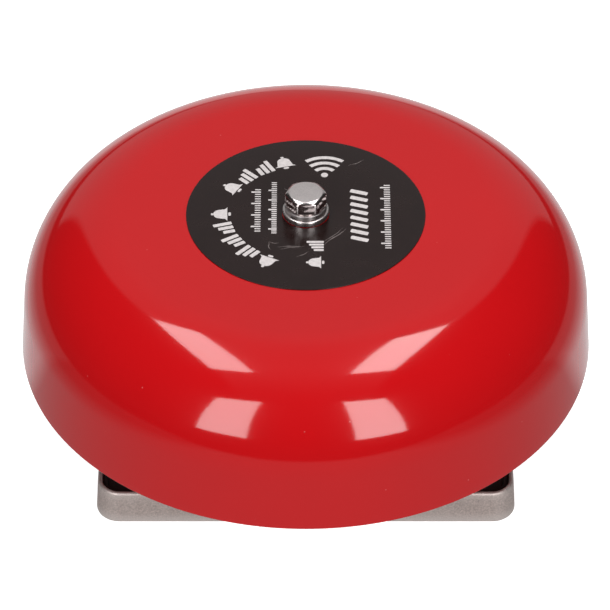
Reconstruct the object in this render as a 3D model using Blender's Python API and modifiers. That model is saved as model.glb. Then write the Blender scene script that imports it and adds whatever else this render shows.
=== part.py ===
"""Fire alarm bell: a pressed steel gong on a cast base, struck from inside by a mains solenoid.

The bell lies on its back. +Z is the gong's axis, pointing out of the wall that the bell hangs on,
and z = 0 is the back of the base. The solenoid lies along +Y and throws its striker at the gong's wall.
"""

import math

import bmesh
import bpy
from mathutils import Matrix, Vector

MM = 0.001
GAP = 0.3 * MM  # between touching pieces

# Gong: flat crown, round shoulder, slightly drafted wall.
GONG_RADIUS = 75.0 * MM
GONG_RIM_Z = 17.7 * MM
GONG_TOP_Z = 58.8 * MM
GONG_THICKNESS = 1.8 * MM
SHOULDER_RADIUS = 27.0 * MM
WALL_DRAFT = math.radians(4.2)
GONG_HOLE_RADIUS = 3.3 * MM
GONG_SIDES = 48

# Label and the stack of fasteners on the crown.
LABEL_RADIUS = 30.9 * MM
LABEL_HOLE_RADIUS = 6.2 * MM
LABEL_THICKNESS = 0.3 * MM
LABEL_GAP = 0.05 * MM
BOLT_RADIUS = 3.0 * MM
BOLT_LENGTH = 17.0 * MM
BOLT_HEAD_FLATS = 9.7 * MM
BOLT_HEAD_HEIGHT = 3.9 * MM
BOLT_TOP_RADIUS = 4.15 * MM
BOLT_TURN = math.radians(33)
WASHER_RADIUS = 6.0 * MM
WASHER_THICKNESS = 1.5 * MM
LOCK_WASHER_RADIUS = 5.5 * MM
LOCK_WASHER_THICKNESS = 1.3 * MM

# Base tray: a square cast dish with a narrow rim.
BASE_HALF = 54.0 * MM
BASE_HEIGHT = 9.8 * MM
BASE_CORNER = 6.0 * MM
BASE_DRAFT = 0.6 * MM
BASE_WALL = 2.2 * MM
BASE_LIP = 1.1 * MM
BASE_FLOOR = 2.4 * MM
MOUNT_HALF = 43.0 * MM
MOUNT_HOLE_RADIUS = 2.6 * MM
BOSS_TOP_Z = 6.0 * MM
CENTRE_BOSS_RADIUS = 9.0 * MM
CENTRE_BOSS_Z = 13.0 * MM

# Black cover that closes the tray.
COVER_THICKNESS = 1.5 * MM
COVER_Z = BOSS_TOP_Z + GAP
COVER_TOP_Z = COVER_Z + COVER_THICKNESS
COVER_SCREW_X = 44.0 * MM
COVER_SCREW_Y = 14.0 * MM

# Pillar that carries the gong.
POST_FLATS = 12.0 * MM
POST_Z = CENTRE_BOSS_Z + GAP
SEAT_WASHER_RADIUS = 8.0 * MM
SEAT_WASHER_THICKNESS = 1.7 * MM
SEAT_WASHER_Z = GONG_TOP_Z - GONG_THICKNESS - GAP - SEAT_WASHER_THICKNESS
POST_TOP_Z = SEAT_WASHER_Z - GAP

# Solenoid, on an axis along +Y at STRIKER_Z.
STRIKER_Z = 30.0 * MM
YOKE_THICKNESS = 1.6 * MM
YOKE_Z = 13.4 * MM
YOKE_TOP_Z = 44.0 * MM
YOKE_BACK_Y = 13.0 * MM
YOKE_FRONT_Y = 55.0 * MM
YOKE_HALF_WIDTH = 12.0 * MM
YOKE_KEEPER_Z = YOKE_TOP_Z + GAP
TENON_HALF_WIDTH = 3.0 * MM
TENON_RISE = 0.5 * MM
YOKE_EAR_X = 17.0 * MM
YOKE_EAR_Y = 34.0 * MM
BOBBIN_RADIUS = 13.0 * MM
BOBBIN_FLANGE = 1.5 * MM
BOBBIN_CORE_RADIUS = 6.6 * MM
WINDING_RADIUS = 11.2 * MM
TAPE_THICKNESS = 0.5 * MM
TUBE_RADIUS = 5.3 * MM
TUBE_BORE_RADIUS = 4.7 * MM
PLUNGER_RADIUS = 4.3 * MM
PLUNGER_LENGTH = 19.0 * MM
PLUNGER_Y = 19.2 * MM
ROD_RADIUS = 2.0 * MM
ROD_BORE_DEPTH = 8.0 * MM
HEAD_RADIUS = 5.0 * MM
HEAD_LENGTH = 5.5 * MM
HEAD_FRONT_Y = 67.2 * MM
SPRING_RADIUS = 3.3 * MM
SPRING_WIRE_RADIUS = 0.4 * MM
SPRING_TURNS = 5
BUSH_INNER_Y = 50.0 * MM

# Electrical parts at -Y.
TERMINAL_Y = -34.0 * MM
TERMINAL_SIZE = Vector((33.0, 14.0, 13.0)) * MM
TERMINAL_PITCH = 10.0 * MM
TERMINAL_BORE_Z = COVER_TOP_Z + 5.0 * MM
GROMMET_X, GROMMET_Y = -31.0 * MM, -30.0 * MM
GROMMET_HOLE_RADIUS = 6.0 * MM
EARTH_X, EARTH_Y = 30.0 * MM, -24.0 * MM
EARTH_BOSS_Z = 11.0 * MM
LEAD_RADIUS = 0.95 * MM


def clear_scene():
    for obj in list(bpy.data.objects):
        bpy.data.objects.remove(obj)


def make_collection(name):
    collection = bpy.data.collections.new(name)
    bpy.context.scene.collection.children.link(collection)
    return collection


def make_material(name, colour, roughness, metallic=0.0):
    material = bpy.data.materials.new(name)
    material.use_nodes = True
    shader = material.node_tree.nodes["Principled BSDF"]
    shader.inputs["Base Color"].default_value = (*colour, 1.0)
    shader.inputs["Roughness"].default_value = roughness
    shader.inputs["Metallic"].default_value = metallic
    return material


clear_scene()
BELL = make_collection("fire_alarm_bell")
TOOLS = make_collection("cutters")

RED_ENAMEL = make_material("red_enamel", (0.57, 0.005, 0.008), 0.12)
BLACK_INK = make_material("black_label", (0.012, 0.011, 0.011), 0.25)
CAST_METAL = make_material("cast_metal", (0.42, 0.38, 0.36), 0.55, 0.7)
BLACK_PLASTIC = make_material("black_plastic", (0.01, 0.01, 0.01), 0.6)
PLATED_STEEL = make_material("plated_steel", (0.62, 0.59, 0.57), 0.2, 1.0)
YOKE_STEEL = make_material("yoke_steel", (0.45, 0.45, 0.47), 0.4, 1.0)
BRASS = make_material("brass", (0.7, 0.5, 0.2), 0.3, 1.0)
COPPER = make_material("copper", (0.72, 0.33, 0.17), 0.35, 1.0)
NYLON = make_material("nylon", (0.75, 0.72, 0.64), 0.45)
FIBRE = make_material("fibre", (0.35, 0.1, 0.05), 0.7)
RUBBER = make_material("rubber", (0.02, 0.02, 0.02), 0.8)
TAPE = make_material("coil_tape", (0.75, 0.55, 0.08), 0.5)
BROWN_PVC = make_material("brown_pvc", (0.13, 0.05, 0.02), 0.5)
BLUE_PVC = make_material("blue_pvc", (0.02, 0.08, 0.35), 0.5)
EARTH_PVC = make_material("earth_pvc", (0.12, 0.4, 0.05), 0.5)


def add_object(name, data, material, collection=None):
    obj = bpy.data.objects.new(name, data)
    (collection or BELL).objects.link(obj)
    if material:
        data.materials.append(material)
    return obj


def as_tool(obj):
    """Keeps a cutter, or a solid that a Boolean joins to another, out of the finished object."""
    for collection in list(obj.users_collection):
        collection.objects.unlink(obj)
    TOOLS.objects.link(obj)
    obj.hide_render = True
    obj.display_type = "WIRE"
    return obj


def boolean(obj, other, operation):
    modifier = obj.modifiers.new(f"{operation.lower()}_{other.name}", "BOOLEAN")
    modifier.operation = operation
    modifier.object = as_tool(other)


def cut(obj, *cutters):
    for cutter in cutters:
        boolean(obj, cutter, "DIFFERENCE")


def join(obj, *solids):
    for solid in solids:
        boolean(obj, solid, "UNION")


def lay_along_y(obj, x=0.0, z=STRIKER_Z):
    """Turns a piece made along +Z to lie along +Y, with its z as y."""
    obj.rotation_euler.x = -math.pi / 2
    obj.location = (x, 0.0, z)
    return obj


def turned(name, profile, material, sides=24):
    """A turned piece. The (radius, z) profile runs out from the top and down the outer side."""
    closed = profile[0][0] > 0
    count = len(profile)
    mesh = bpy.data.meshes.new(name)
    edges = [(i, i + 1) for i in range(count - 1)]
    if closed:
        edges.append((count - 1, 0))
    mesh.from_pydata([(radius, 0.0, z) for radius, z in profile], edges, [])
    obj = add_object(name, mesh, material)
    screw = obj.modifiers.new("turn", "SCREW")
    screw.steps = screw.render_steps = sides
    screw.use_merge_vertices = True
    screw.merge_threshold = 0.000001
    return obj


def ring(name, outer, inner, low, high, material, sides=24):
    return turned(name, [(inner, high), (outer, high), (outer, low), (inner, low)], material, sides)


def cylinder(name, radius, low, high, x=0.0, y=0.0, material=None, sides=16):
    mesh = bpy.data.meshes.new(name)
    shape = bmesh.new()
    bmesh.ops.create_cone(
        shape, cap_ends=True, segments=sides, radius1=radius, radius2=radius, depth=high - low
    )
    bmesh.ops.translate(shape, verts=shape.verts, vec=(0.0, 0.0, (low + high) / 2))
    shape.to_mesh(mesh)
    shape.free()
    obj = add_object(name, mesh, material)
    obj.location = (x, y, 0.0)
    return obj


def hex_prism(name, flats, low, high, material=None):
    return cylinder(name, flats / math.sqrt(3), low, high, material=material, sides=6)


def box(name, low, high, material=None):
    low, high = Vector(low), Vector(high)
    mesh = bpy.data.meshes.new(name)
    shape = bmesh.new()
    bmesh.ops.create_cube(shape, size=1.0)
    bmesh.ops.scale(shape, verts=shape.verts, vec=high - low)
    shape.to_mesh(mesh)
    shape.free()
    obj = add_object(name, mesh, material)
    obj.location = (low + high) / 2
    return obj


def rounded_block(name, half, low, high, corner, draft, edge, material=None):
    """A square block with round corners, narrower at the top by draft on each side."""
    mesh = bpy.data.meshes.new(name)
    shape = bmesh.new()
    bmesh.ops.create_cube(shape, size=2.0)
    for vert in shape.verts:
        side = half - draft if vert.co.z > 0 else half
        vert.co = Vector((vert.co.x * side, vert.co.y * side, high if vert.co.z > 0 else low))
    uprights = [e for e in shape.edges if abs(e.verts[0].co.z - e.verts[1].co.z) > edge]
    bmesh.ops.bevel(shape, geom=uprights, offset=corner, segments=5, profile=0.5, affect="EDGES")
    if edge:
        level = [e for e in shape.edges if abs(e.verts[0].co.z - e.verts[1].co.z) < MM / 100]
        bmesh.ops.bevel(shape, geom=level, offset=edge, segments=2, profile=0.5, affect="EDGES")
    shape.to_mesh(mesh)
    shape.free()
    return add_object(name, mesh, material)


def rounded_square(half, corner, steps=6):
    points = []
    for quarter in range(4):
        middle = Vector((half - corner, half - corner))
        for step in range(steps + 1):
            angle = math.pi / 2 * step / steps
            point = middle + corner * Vector((math.cos(angle), math.sin(angle)))
            points.append(Matrix.Rotation(quarter * math.pi / 2, 2) @ point)
    return points


def circle(x, y, radius, sides=20):
    angles = [2 * math.pi * i / sides for i in range(sides)]
    return [Vector((x + radius * math.cos(a), y + radius * math.sin(a))) for a in angles]


def plate(name, outline, holes, low, high, material):
    """A flat sheet with holes, cut from one 2D curve."""
    curve = bpy.data.curves.new(name, "CURVE")
    curve.dimensions = "2D"
    curve.fill_mode = "BOTH"
    curve.extrude = (high - low) / 2
    for points in [outline, *holes]:
        spline = curve.splines.new("POLY")
        spline.points.add(len(points) - 1)
        for slot, point in zip(spline.points, points):
            slot.co = (point.x, point.y, 0.0, 1.0)
        spline.use_cyclic_u = True
    obj = add_object(name, curve, material)
    obj.location.z = (low + high) / 2
    return obj


def smooth_route(stops, count):
    """Points along a Catmull-Rom curve through the stops."""
    stops = [Vector(stop) * MM for stop in stops]
    padded = [2 * stops[0] - stops[1], *stops, 2 * stops[-1] - stops[-2]]
    points = []
    for i in range(count):
        place = i * (len(stops) - 1) / (count - 1)
        k = min(int(place), len(stops) - 2)
        t = place - k
        a, b, c, d = padded[k : k + 4]
        square = (2 * a - 5 * b + 4 * c - d) * t**2
        cube = (3 * b - a - 3 * c + d) * t**3
        points.append((2 * b + (c - a) * t + square + cube) / 2)
    return points


def wire(name, points, radius, material):
    curve = bpy.data.curves.new(name, "CURVE")
    curve.dimensions = "3D"
    curve.bevel_depth = radius
    curve.bevel_resolution = 2
    curve.use_fill_caps = True
    spline = curve.splines.new("POLY")
    spline.points.add(len(points) - 1)
    for slot, point in zip(spline.points, points):
        slot.co = (*point, 1.0)
    return add_object(name, curve, material)


def arc(centre_r, centre_z, radius, start, end, steps):
    """(radius, z) points on an arc of a turned profile."""
    angles = [start + (end - start) * i / steps for i in range(steps + 1)]
    return [(centre_r + radius * math.cos(a), centre_z + radius * math.sin(a)) for a in angles]


def pan_screw(name, x, y, seat_z, head_radius, head_height, shank_radius, length, material):
    """A slotted pan-head screw whose head sits on seat_z."""
    top = seat_z + head_height
    profile = [
        (0.0, top),
        (0.7 * head_radius, top),
        (head_radius, top - 0.4 * head_height),
        (head_radius, seat_z),
        (shank_radius, seat_z),
        (shank_radius, seat_z - length),
        (0.0, seat_z - length),
    ]
    screw = turned(name, profile, material, sides=14)
    screw.location = (x, y, 0.0)
    slot_half = 0.12 * head_radius
    slot = box(
        f"{name}_slot",
        (x - head_radius, y - slot_half, top - 0.45 * head_height),
        (x + head_radius, y + slot_half, top + MM),
    )
    cut(screw, slot)


def shoulder_centre():
    """Centre (radius, z) of the gong's shoulder arc, from the rim radius and the wall's draft."""
    centre_z = GONG_TOP_Z - SHOULDER_RADIUS
    rise = (centre_z - GONG_RIM_Z) * math.sin(WALL_DRAFT)
    return GONG_RADIUS - (SHOULDER_RADIUS + rise) / math.cos(WALL_DRAFT), centre_z


def gong_inner_radius(z):
    """The gong's inner radius on its straight wall."""
    return GONG_RADIUS - (z - GONG_RIM_Z) * math.tan(WALL_DRAFT) - GONG_THICKNESS / math.cos(WALL_DRAFT)


def build_gong():
    centre_r, centre_z = shoulder_centre()
    lip = 0.4 * GONG_THICKNESS
    outer = arc(centre_r, centre_z, SHOULDER_RADIUS, math.pi / 2, WALL_DRAFT, 8)
    inner = arc(centre_r, centre_z, SHOULDER_RADIUS - GONG_THICKNESS, WALL_DRAFT, math.pi / 2, 7)
    rim = [
        (GONG_RADIUS, GONG_RIM_Z + lip),
        (GONG_RADIUS - lip, GONG_RIM_Z),
        (gong_inner_radius(GONG_RIM_Z) + lip, GONG_RIM_Z),
        (gong_inner_radius(GONG_RIM_Z), GONG_RIM_Z + lip),
    ]
    top = [(GONG_HOLE_RADIUS, GONG_TOP_Z)]
    bottom = [(GONG_HOLE_RADIUS, GONG_TOP_Z - GONG_THICKNESS)]
    turned("gong", top + outer + rim + inner + bottom, RED_ENAMEL, GONG_SIDES)


def build_crown_stack():
    """Label, flat washer, lock washer and bolt, from the crown upwards."""
    low = GONG_TOP_Z + LABEL_GAP
    high = low + LABEL_THICKNESS
    ring("gong_label", LABEL_RADIUS, LABEL_HOLE_RADIUS, low, high, BLACK_INK, GONG_SIDES)
    low = GONG_TOP_Z + GAP
    high = low + WASHER_THICKNESS
    bore = GONG_HOLE_RADIUS
    ring("flat_washer", WASHER_RADIUS, bore, low, high, PLATED_STEEL)
    low = high + GAP / 3
    high = low + LOCK_WASHER_THICKNESS
    lock = ring("lock_washer", LOCK_WASHER_RADIUS, bore, low, high, PLATED_STEEL)
    split = box(
        "lock_washer_split", (-2 * BOLT_RADIUS, -0.5 * MM, -2 * MM), (0.0, 0.5 * MM, 2 * MM)
    )
    split.location = (1.2 * LOCK_WASHER_RADIUS, 0.0, (low + high) / 2)
    split.rotation_euler.x = math.radians(25)
    cut(lock, split)
    build_bolt(high + GAP / 3)


def build_bolt(seat_z):
    top = seat_z + BOLT_HEAD_HEIGHT
    corner = BOLT_HEAD_FLATS / math.sqrt(3)
    slope = math.tan(math.radians(30))
    bolt = hex_prism("gong_bolt", BOLT_HEAD_FLATS, seat_z, top, PLATED_STEEL)
    chamfer = turned(
        "gong_bolt_chamfer",
        [
            (0.0, top + MM),
            (BOLT_TOP_RADIUS - MM / slope, top + MM),
            (corner + MM, top - (corner + MM - BOLT_TOP_RADIUS) * slope),
            (corner + MM, seat_z - MM),
            (0.0, seat_z - MM),
        ],
        None,
    )
    boolean(bolt, chamfer, "INTERSECT")
    shank = cylinder("gong_bolt_shank", BOLT_RADIUS, seat_z - BOLT_LENGTH, seat_z + MM)
    join(bolt, shank)
    bolt.rotation_euler.z = BOLT_TURN


def boss_places():
    """(name, x, y, radius, top, hole radius) of each boss that stands on the tray's floor."""
    places = []
    for i, (sx, sy) in enumerate(((1, 1), (-1, 1), (-1, -1), (1, -1)), 1):
        places.append(
            (f"mount_{i}", sx * MOUNT_HALF, sy * MOUNT_HALF, 5 * MM, BOSS_TOP_Z, MOUNT_HOLE_RADIUS)
        )
        places.append(
            (f"cover_{i}", sx * COVER_SCREW_X, sy * COVER_SCREW_Y, 3.5 * MM, BOSS_TOP_Z, 1.6 * MM)
        )
    for i, side in enumerate((1, -1), 1):
        boss_top = YOKE_Z - GAP
        places.append((f"yoke_{i}", side * YOKE_EAR_X, YOKE_EAR_Y, 4 * MM, boss_top, 1.8 * MM))
    places.append(("earth", EARTH_X, EARTH_Y, 4 * MM, EARTH_BOSS_Z, 1.8 * MM))
    places.append(("centre", 0.0, 0.0, CENTRE_BOSS_RADIUS, CENTRE_BOSS_Z, 2.8 * MM))
    return places


def build_tray():
    tray = rounded_block(
        "base_tray", BASE_HALF, 0.0, BASE_HEIGHT, BASE_CORNER, BASE_DRAFT, 0.8 * MM, CAST_METAL
    )
    pocket = rounded_block(
        "tray_pocket",
        BASE_HALF - BASE_DRAFT - BASE_WALL,
        BASE_FLOOR,
        BASE_HEIGHT + 5 * MM,
        BASE_CORNER - BASE_WALL,
        0.0,
        0.0,
    )
    ledge = rounded_block(
        "tray_ledge",
        BASE_HALF - BASE_DRAFT - BASE_LIP,
        BOSS_TOP_Z,
        BASE_HEIGHT + 5 * MM,
        BASE_CORNER - BASE_LIP,
        0.0,
        0.0,
    )
    cut(tray, pocket, ledge)
    through = -MM
    for name, x, y, radius, top, hole in boss_places():
        join(tray, cylinder(f"boss_{name}", radius, BASE_FLOOR / 2, top, x, y))
    for name, x, y, _, top, hole in boss_places():
        low = BASE_FLOOR + GAP if name.startswith(("cover", "yoke", "earth")) else through
        cut(tray, cylinder(f"hole_{name}", hole, low, top + MM, x, y, sides=12))
    cut(
        tray,
        cylinder("post_screw_recess", 5.2 * MM, through, 3.6 * MM),
        cylinder("cable_hole", GROMMET_HOLE_RADIUS, through, 5 * MM, GROMMET_X, GROMMET_Y),
    )


def build_cover():
    half = BASE_HALF - BASE_DRAFT - BASE_LIP - GAP
    holes = [circle(0.0, 0.0, CENTRE_BOSS_RADIUS + GAP)]
    for name, x, y, radius, top, _ in boss_places():
        if name.startswith("mount"):
            holes.append(circle(x, y, 4.8 * MM, 16))
        elif name.startswith("cover"):
            holes.append(circle(x, y, 1.8 * MM, 12))
        elif top > COVER_TOP_Z and name != "centre":
            holes.append(circle(x, y, radius + GAP, 16))
    holes.append(circle(GROMMET_X, GROMMET_Y, 8.5 * MM))
    for side in (1, -1):
        holes.append(circle(side * TERMINAL_PITCH / 2, TERMINAL_Y, 1.8 * MM, 12))
    outline = rounded_square(half, BASE_CORNER - BASE_LIP - GAP)
    plate("inner_cover", outline, holes, COVER_Z, COVER_TOP_Z, BLACK_PLASTIC)
    for name, x, y, *_ in boss_places():
        if name.startswith("cover"):
            number = name[-1]
            pan_screw(
                f"cover_screw_{number}", x, y, COVER_TOP_Z + GAP, 3 * MM, 1.5 * MM, 1.3 * MM,
                5.0 * MM, PLATED_STEEL,
            )


def build_post():
    post = hex_prism("gong_post", POST_FLATS, POST_Z, POST_TOP_Z, PLATED_STEEL)
    cut(
        post,
        cylinder("post_top_bore", BOLT_RADIUS + GAP, POST_TOP_Z - 15 * MM, POST_TOP_Z + MM),
        cylinder("post_foot_bore", 2.6 * MM, POST_Z - MM, POST_Z + 10 * MM),
    )
    ring(
        "seat_washer", SEAT_WASHER_RADIUS, GONG_HOLE_RADIUS, SEAT_WASHER_Z,
        SEAT_WASHER_Z + SEAT_WASHER_THICKNESS, FIBRE,
    )
    screw = turned(
        "post_screw",
        [
            (0.0, POST_Z + 9 * MM),
            (2.3 * MM, POST_Z + 9 * MM),
            (2.3 * MM, 3.2 * MM),
            (4.8 * MM, 3.2 * MM),
            (4.8 * MM, 0.6 * MM),
            (0.0, 0.6 * MM),
        ],
        PLATED_STEEL,
    )
    cut(screw, hex_prism("post_screw_socket", 4.0 * MM, -MM, 2.2 * MM))


def build_yoke():
    """The U-shaped iron frame, its ears and the keeper plate that closes it above the coil."""
    base_top = YOKE_Z + YOKE_THICKNESS
    overlap = 0.2 * MM
    yoke = box(
        "yoke_frame",
        (-YOKE_HALF_WIDTH, YOKE_BACK_Y, YOKE_Z),
        (YOKE_HALF_WIDTH, YOKE_FRONT_Y, base_top),
        YOKE_STEEL,
    )
    cheek_half = YOKE_HALF_WIDTH - overlap
    keeper_top = YOKE_KEEPER_Z + YOKE_THICKNESS
    keeper = box(
        "yoke_keeper",
        (-YOKE_HALF_WIDTH, YOKE_BACK_Y, YOKE_KEEPER_Z),
        (YOKE_HALF_WIDTH, YOKE_FRONT_Y, keeper_top),
        YOKE_STEEL,
    )
    for name, y in (("rear", YOKE_BACK_Y + overlap / 2), ("front", YOKE_FRONT_Y - YOKE_THICKNESS)):
        far_y = y + YOKE_THICKNESS - overlap / 2
        join(
            yoke,
            box(
                f"yoke_{name}_cheek",
                (-cheek_half, y, YOKE_Z + overlap),
                (cheek_half, far_y, YOKE_TOP_Z),
            ),
            box(
                f"yoke_{name}_tenon",
                (-TENON_HALF_WIDTH, y + overlap, YOKE_TOP_Z - overlap),
                (TENON_HALF_WIDTH, far_y - overlap, keeper_top + TENON_RISE),
            ),
        )
        notch_half = TENON_HALF_WIDTH + GAP
        notch = box(
            f"keeper_{name}_notch",
            (-notch_half, y - 2 * GAP, YOKE_TOP_Z),
            (notch_half, far_y + GAP, keeper_top + MM),
        )
        cut(keeper, notch)
    ear_half = YOKE_EAR_X + 4.5 * MM
    join(
        yoke,
        box(
            "yoke_ears",
            (-ear_half, YOKE_EAR_Y - 5 * MM, YOKE_Z + overlap / 4),
            (ear_half, YOKE_EAR_Y + 5 * MM, base_top - overlap / 4),
        ),
    )
    for side in (1, -1):
        x = side * YOKE_EAR_X
        cut(yoke, cylinder(f"ear_hole_{side}", 2.0 * MM, YOKE_Z - MM, base_top + MM, x, YOKE_EAR_Y))
    stop_hole = cylinder("stop_hole", 2.4 * MM, YOKE_BACK_Y - MM, YOKE_BACK_Y + 3 * MM)
    bush_hole = cylinder("bush_hole", TUBE_BORE_RADIUS, YOKE_FRONT_Y - 4 * MM, YOKE_FRONT_Y + MM, sides=24)
    cut(yoke, lay_along_y(stop_hole), lay_along_y(bush_hole))
    for number, side in enumerate((1, -1), 1):
        pan_screw(
            f"yoke_screw_{number}", side * YOKE_EAR_X, YOKE_EAR_Y, base_top + GAP, 3.4 * MM, 2.2 * MM,
            1.5 * MM, 9 * MM, PLATED_STEEL,
        )


def build_coil():
    low = YOKE_BACK_Y + YOKE_THICKNESS + GAP
    high = YOKE_FRONT_Y - YOKE_THICKNESS - GAP
    bore = TUBE_RADIUS + GAP
    bobbin = turned(
        "coil_bobbin",
        [
            (bore, high),
            (BOBBIN_RADIUS, high),
            (BOBBIN_RADIUS, high - BOBBIN_FLANGE),
            (BOBBIN_CORE_RADIUS, high - BOBBIN_FLANGE),
            (BOBBIN_CORE_RADIUS, low + BOBBIN_FLANGE),
            (BOBBIN_RADIUS, low + BOBBIN_FLANGE),
            (BOBBIN_RADIUS, low),
            (bore, low),
        ],
        NYLON,
    )
    wound = (low + BOBBIN_FLANGE + GAP, high - BOBBIN_FLANGE - GAP)
    winding = ring("coil_winding", WINDING_RADIUS, BOBBIN_CORE_RADIUS + GAP, *wound, COPPER)
    tape = ring(
        "coil_tape", WINDING_RADIUS + GAP + TAPE_THICKNESS, WINDING_RADIUS + GAP, *wound, TAPE
    )
    tube = ring("guide_tube", TUBE_RADIUS, TUBE_BORE_RADIUS, low, high, BRASS)
    for piece in (bobbin, winding, tape, tube):
        lay_along_y(piece)


def build_guides():
    """Front bush, and the rear buffer with its adjusting screw and lock nut."""
    neck = TUBE_BORE_RADIUS - GAP
    flange_y = YOKE_FRONT_Y + GAP
    bush = turned(
        "front_bush",
        [
            (ROD_RADIUS + GAP, flange_y + 1.5 * MM),
            (6.5 * MM, flange_y + 1.5 * MM),
            (6.5 * MM, flange_y),
            (neck, flange_y),
            (neck, BUSH_INNER_Y),
            (ROD_RADIUS + GAP, BUSH_INNER_Y),
        ],
        NYLON,
    )
    buffer = cylinder("rear_buffer", neck, 16.9 * MM, PLUNGER_Y - GAP, material=RUBBER, sides=24)
    screw = cylinder("stop_screw", 2.0 * MM, 8.4 * MM, 16.6 * MM, material=PLATED_STEEL)
    screw_slot = box("stop_screw_slot", (-3 * MM, -0.35 * MM, 7 * MM), (3 * MM, 0.35 * MM, 9.2 * MM))
    nut = hex_prism("stop_nut", 7.0 * MM, 9.8 * MM, 12.6 * MM, PLATED_STEEL)
    nut_bore = cylinder("stop_nut_bore", 2.3 * MM, 9 * MM, 14 * MM)
    for piece in (bush, buffer, screw, nut, nut_bore):
        lay_along_y(piece)
    screw_slot.parent = screw
    cut(screw, screw_slot)
    cut(nut, nut_bore)


def build_striker():
    """Plunger, rod and hammer head, which slide together along the solenoid's axis."""
    guide = bpy.data.objects.new("striker_axis", None)
    BELL.objects.link(guide)
    guide.location = (0.0, 0.0, STRIKER_Z)
    guide.rotation_euler.x = -math.pi / 2
    front = PLUNGER_Y + PLUNGER_LENGTH
    bore = ROD_RADIUS + GAP
    plunger = turned(
        "plunger",
        [
            (bore, front),
            (PLUNGER_RADIUS, front),
            (PLUNGER_RADIUS, PLUNGER_Y),
            (0.0, PLUNGER_Y),
            (0.0, front - ROD_BORE_DEPTH),
            (bore, front - ROD_BORE_DEPTH),
        ],
        YOKE_STEEL,
    )
    head_back = HEAD_FRONT_Y - HEAD_LENGTH
    rod_end = head_back + 3 * MM
    rod_start = front - ROD_BORE_DEPTH + GAP
    rod = cylinder("striker_rod", ROD_RADIUS, rod_start, rod_end, material=PLATED_STEEL)
    nose = arc(0.0, HEAD_FRONT_Y - 8 * MM, 8 * MM, math.pi / 2, math.radians(54), 4)
    head = turned(
        "striker_head",
        [
            *nose,
            (HEAD_RADIUS, HEAD_FRONT_Y - 2 * MM),
            (HEAD_RADIUS, head_back),
            (bore, head_back),
            (bore, rod_end + GAP),
            (0.0, rod_end + GAP),
        ],
        BRASS,
    )
    for piece in (plunger, rod, head):
        piece.parent = guide


def build_spring():
    """The return spring, between the plunger and the front bush."""
    start = PLUNGER_Y + PLUNGER_LENGTH + 2 * SPRING_WIRE_RADIUS
    end = BUSH_INNER_Y - 2 * SPRING_WIRE_RADIUS
    steps = 12 * SPRING_TURNS
    points = []
    for i in range(steps + 1):
        angle = 2 * math.pi * SPRING_TURNS * i / steps
        points.append(
            (
                SPRING_RADIUS * math.cos(angle),
                start + (end - start) * i / steps,
                STRIKER_Z + SPRING_RADIUS * math.sin(angle),
            )
        )
    wire("return_spring", points, SPRING_WIRE_RADIUS, YOKE_STEEL)


def build_terminals():
    low = COVER_TOP_Z + GAP
    half = TERMINAL_SIZE / 2
    block = box(
        "terminal_block",
        (-half.x, TERMINAL_Y - half.y, low),
        (half.x, TERMINAL_Y + half.y, low + TERMINAL_SIZE.z),
        NYLON,
    )
    top = low + TERMINAL_SIZE.z
    cavity_half = Vector((2.6, half.y / MM + 1, 3.0)) * MM
    clamp_half = cavity_half - Vector((GAP, 3 * MM, GAP))
    for number in (1, 2, 3):
        x = (number - 2) * TERMINAL_PITCH
        middle = Vector((x, TERMINAL_Y, TERMINAL_BORE_Z))
        cut(
            block,
            box(f"terminal_cavity_{number}", middle - cavity_half, middle + cavity_half),
            cylinder(f"terminal_well_{number}", 2.1 * MM, TERMINAL_BORE_Z, top + MM, x, TERMINAL_Y),
        )
        clamp = box(f"terminal_clamp_{number}", middle - clamp_half, middle + clamp_half, BRASS)
        bore = cylinder(f"terminal_bore_{number}", 1.6 * MM, -10 * MM, 10 * MM, sides=12)
        bore.rotation_euler.x = math.pi / 2
        bore.location = middle
        tapping = cylinder(
            f"terminal_tapping_{number}", 1.9 * MM, TERMINAL_BORE_Z, top, x, TERMINAL_Y, sides=12
        )
        cut(clamp, bore, tapping)
        screw = cylinder(
            f"terminal_screw_{number}", 1.6 * MM, TERMINAL_BORE_Z + 1.8 * MM, top - 1.2 * MM, x,
            TERMINAL_Y, PLATED_STEEL, 12,
        )
        slot = box(
            f"terminal_screw_slot_{number}", (x - 2 * MM, TERMINAL_Y - 0.3 * MM, top - 2.0 * MM),
            (x + 2 * MM, TERMINAL_Y + 0.3 * MM, top),
        )
        cut(screw, slot)
    for number, side in enumerate((1, -1), 1):
        x = side * TERMINAL_PITCH / 2
        cut(
            block,
            cylinder(f"block_hole_{number}", 1.7 * MM, low - MM, top + MM, x, TERMINAL_Y, sides=12),
            cylinder(f"block_well_{number}", 2.2 * MM, top - 6 * MM, top + MM, x, TERMINAL_Y, sides=12),
        )
        pan_screw(
            f"block_screw_{number}", x, TERMINAL_Y, top - 6 * MM + GAP, 1.9 * MM, 1.4 * MM, 1.3 * MM,
            10.5 * MM, PLATED_STEEL,
        )


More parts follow.
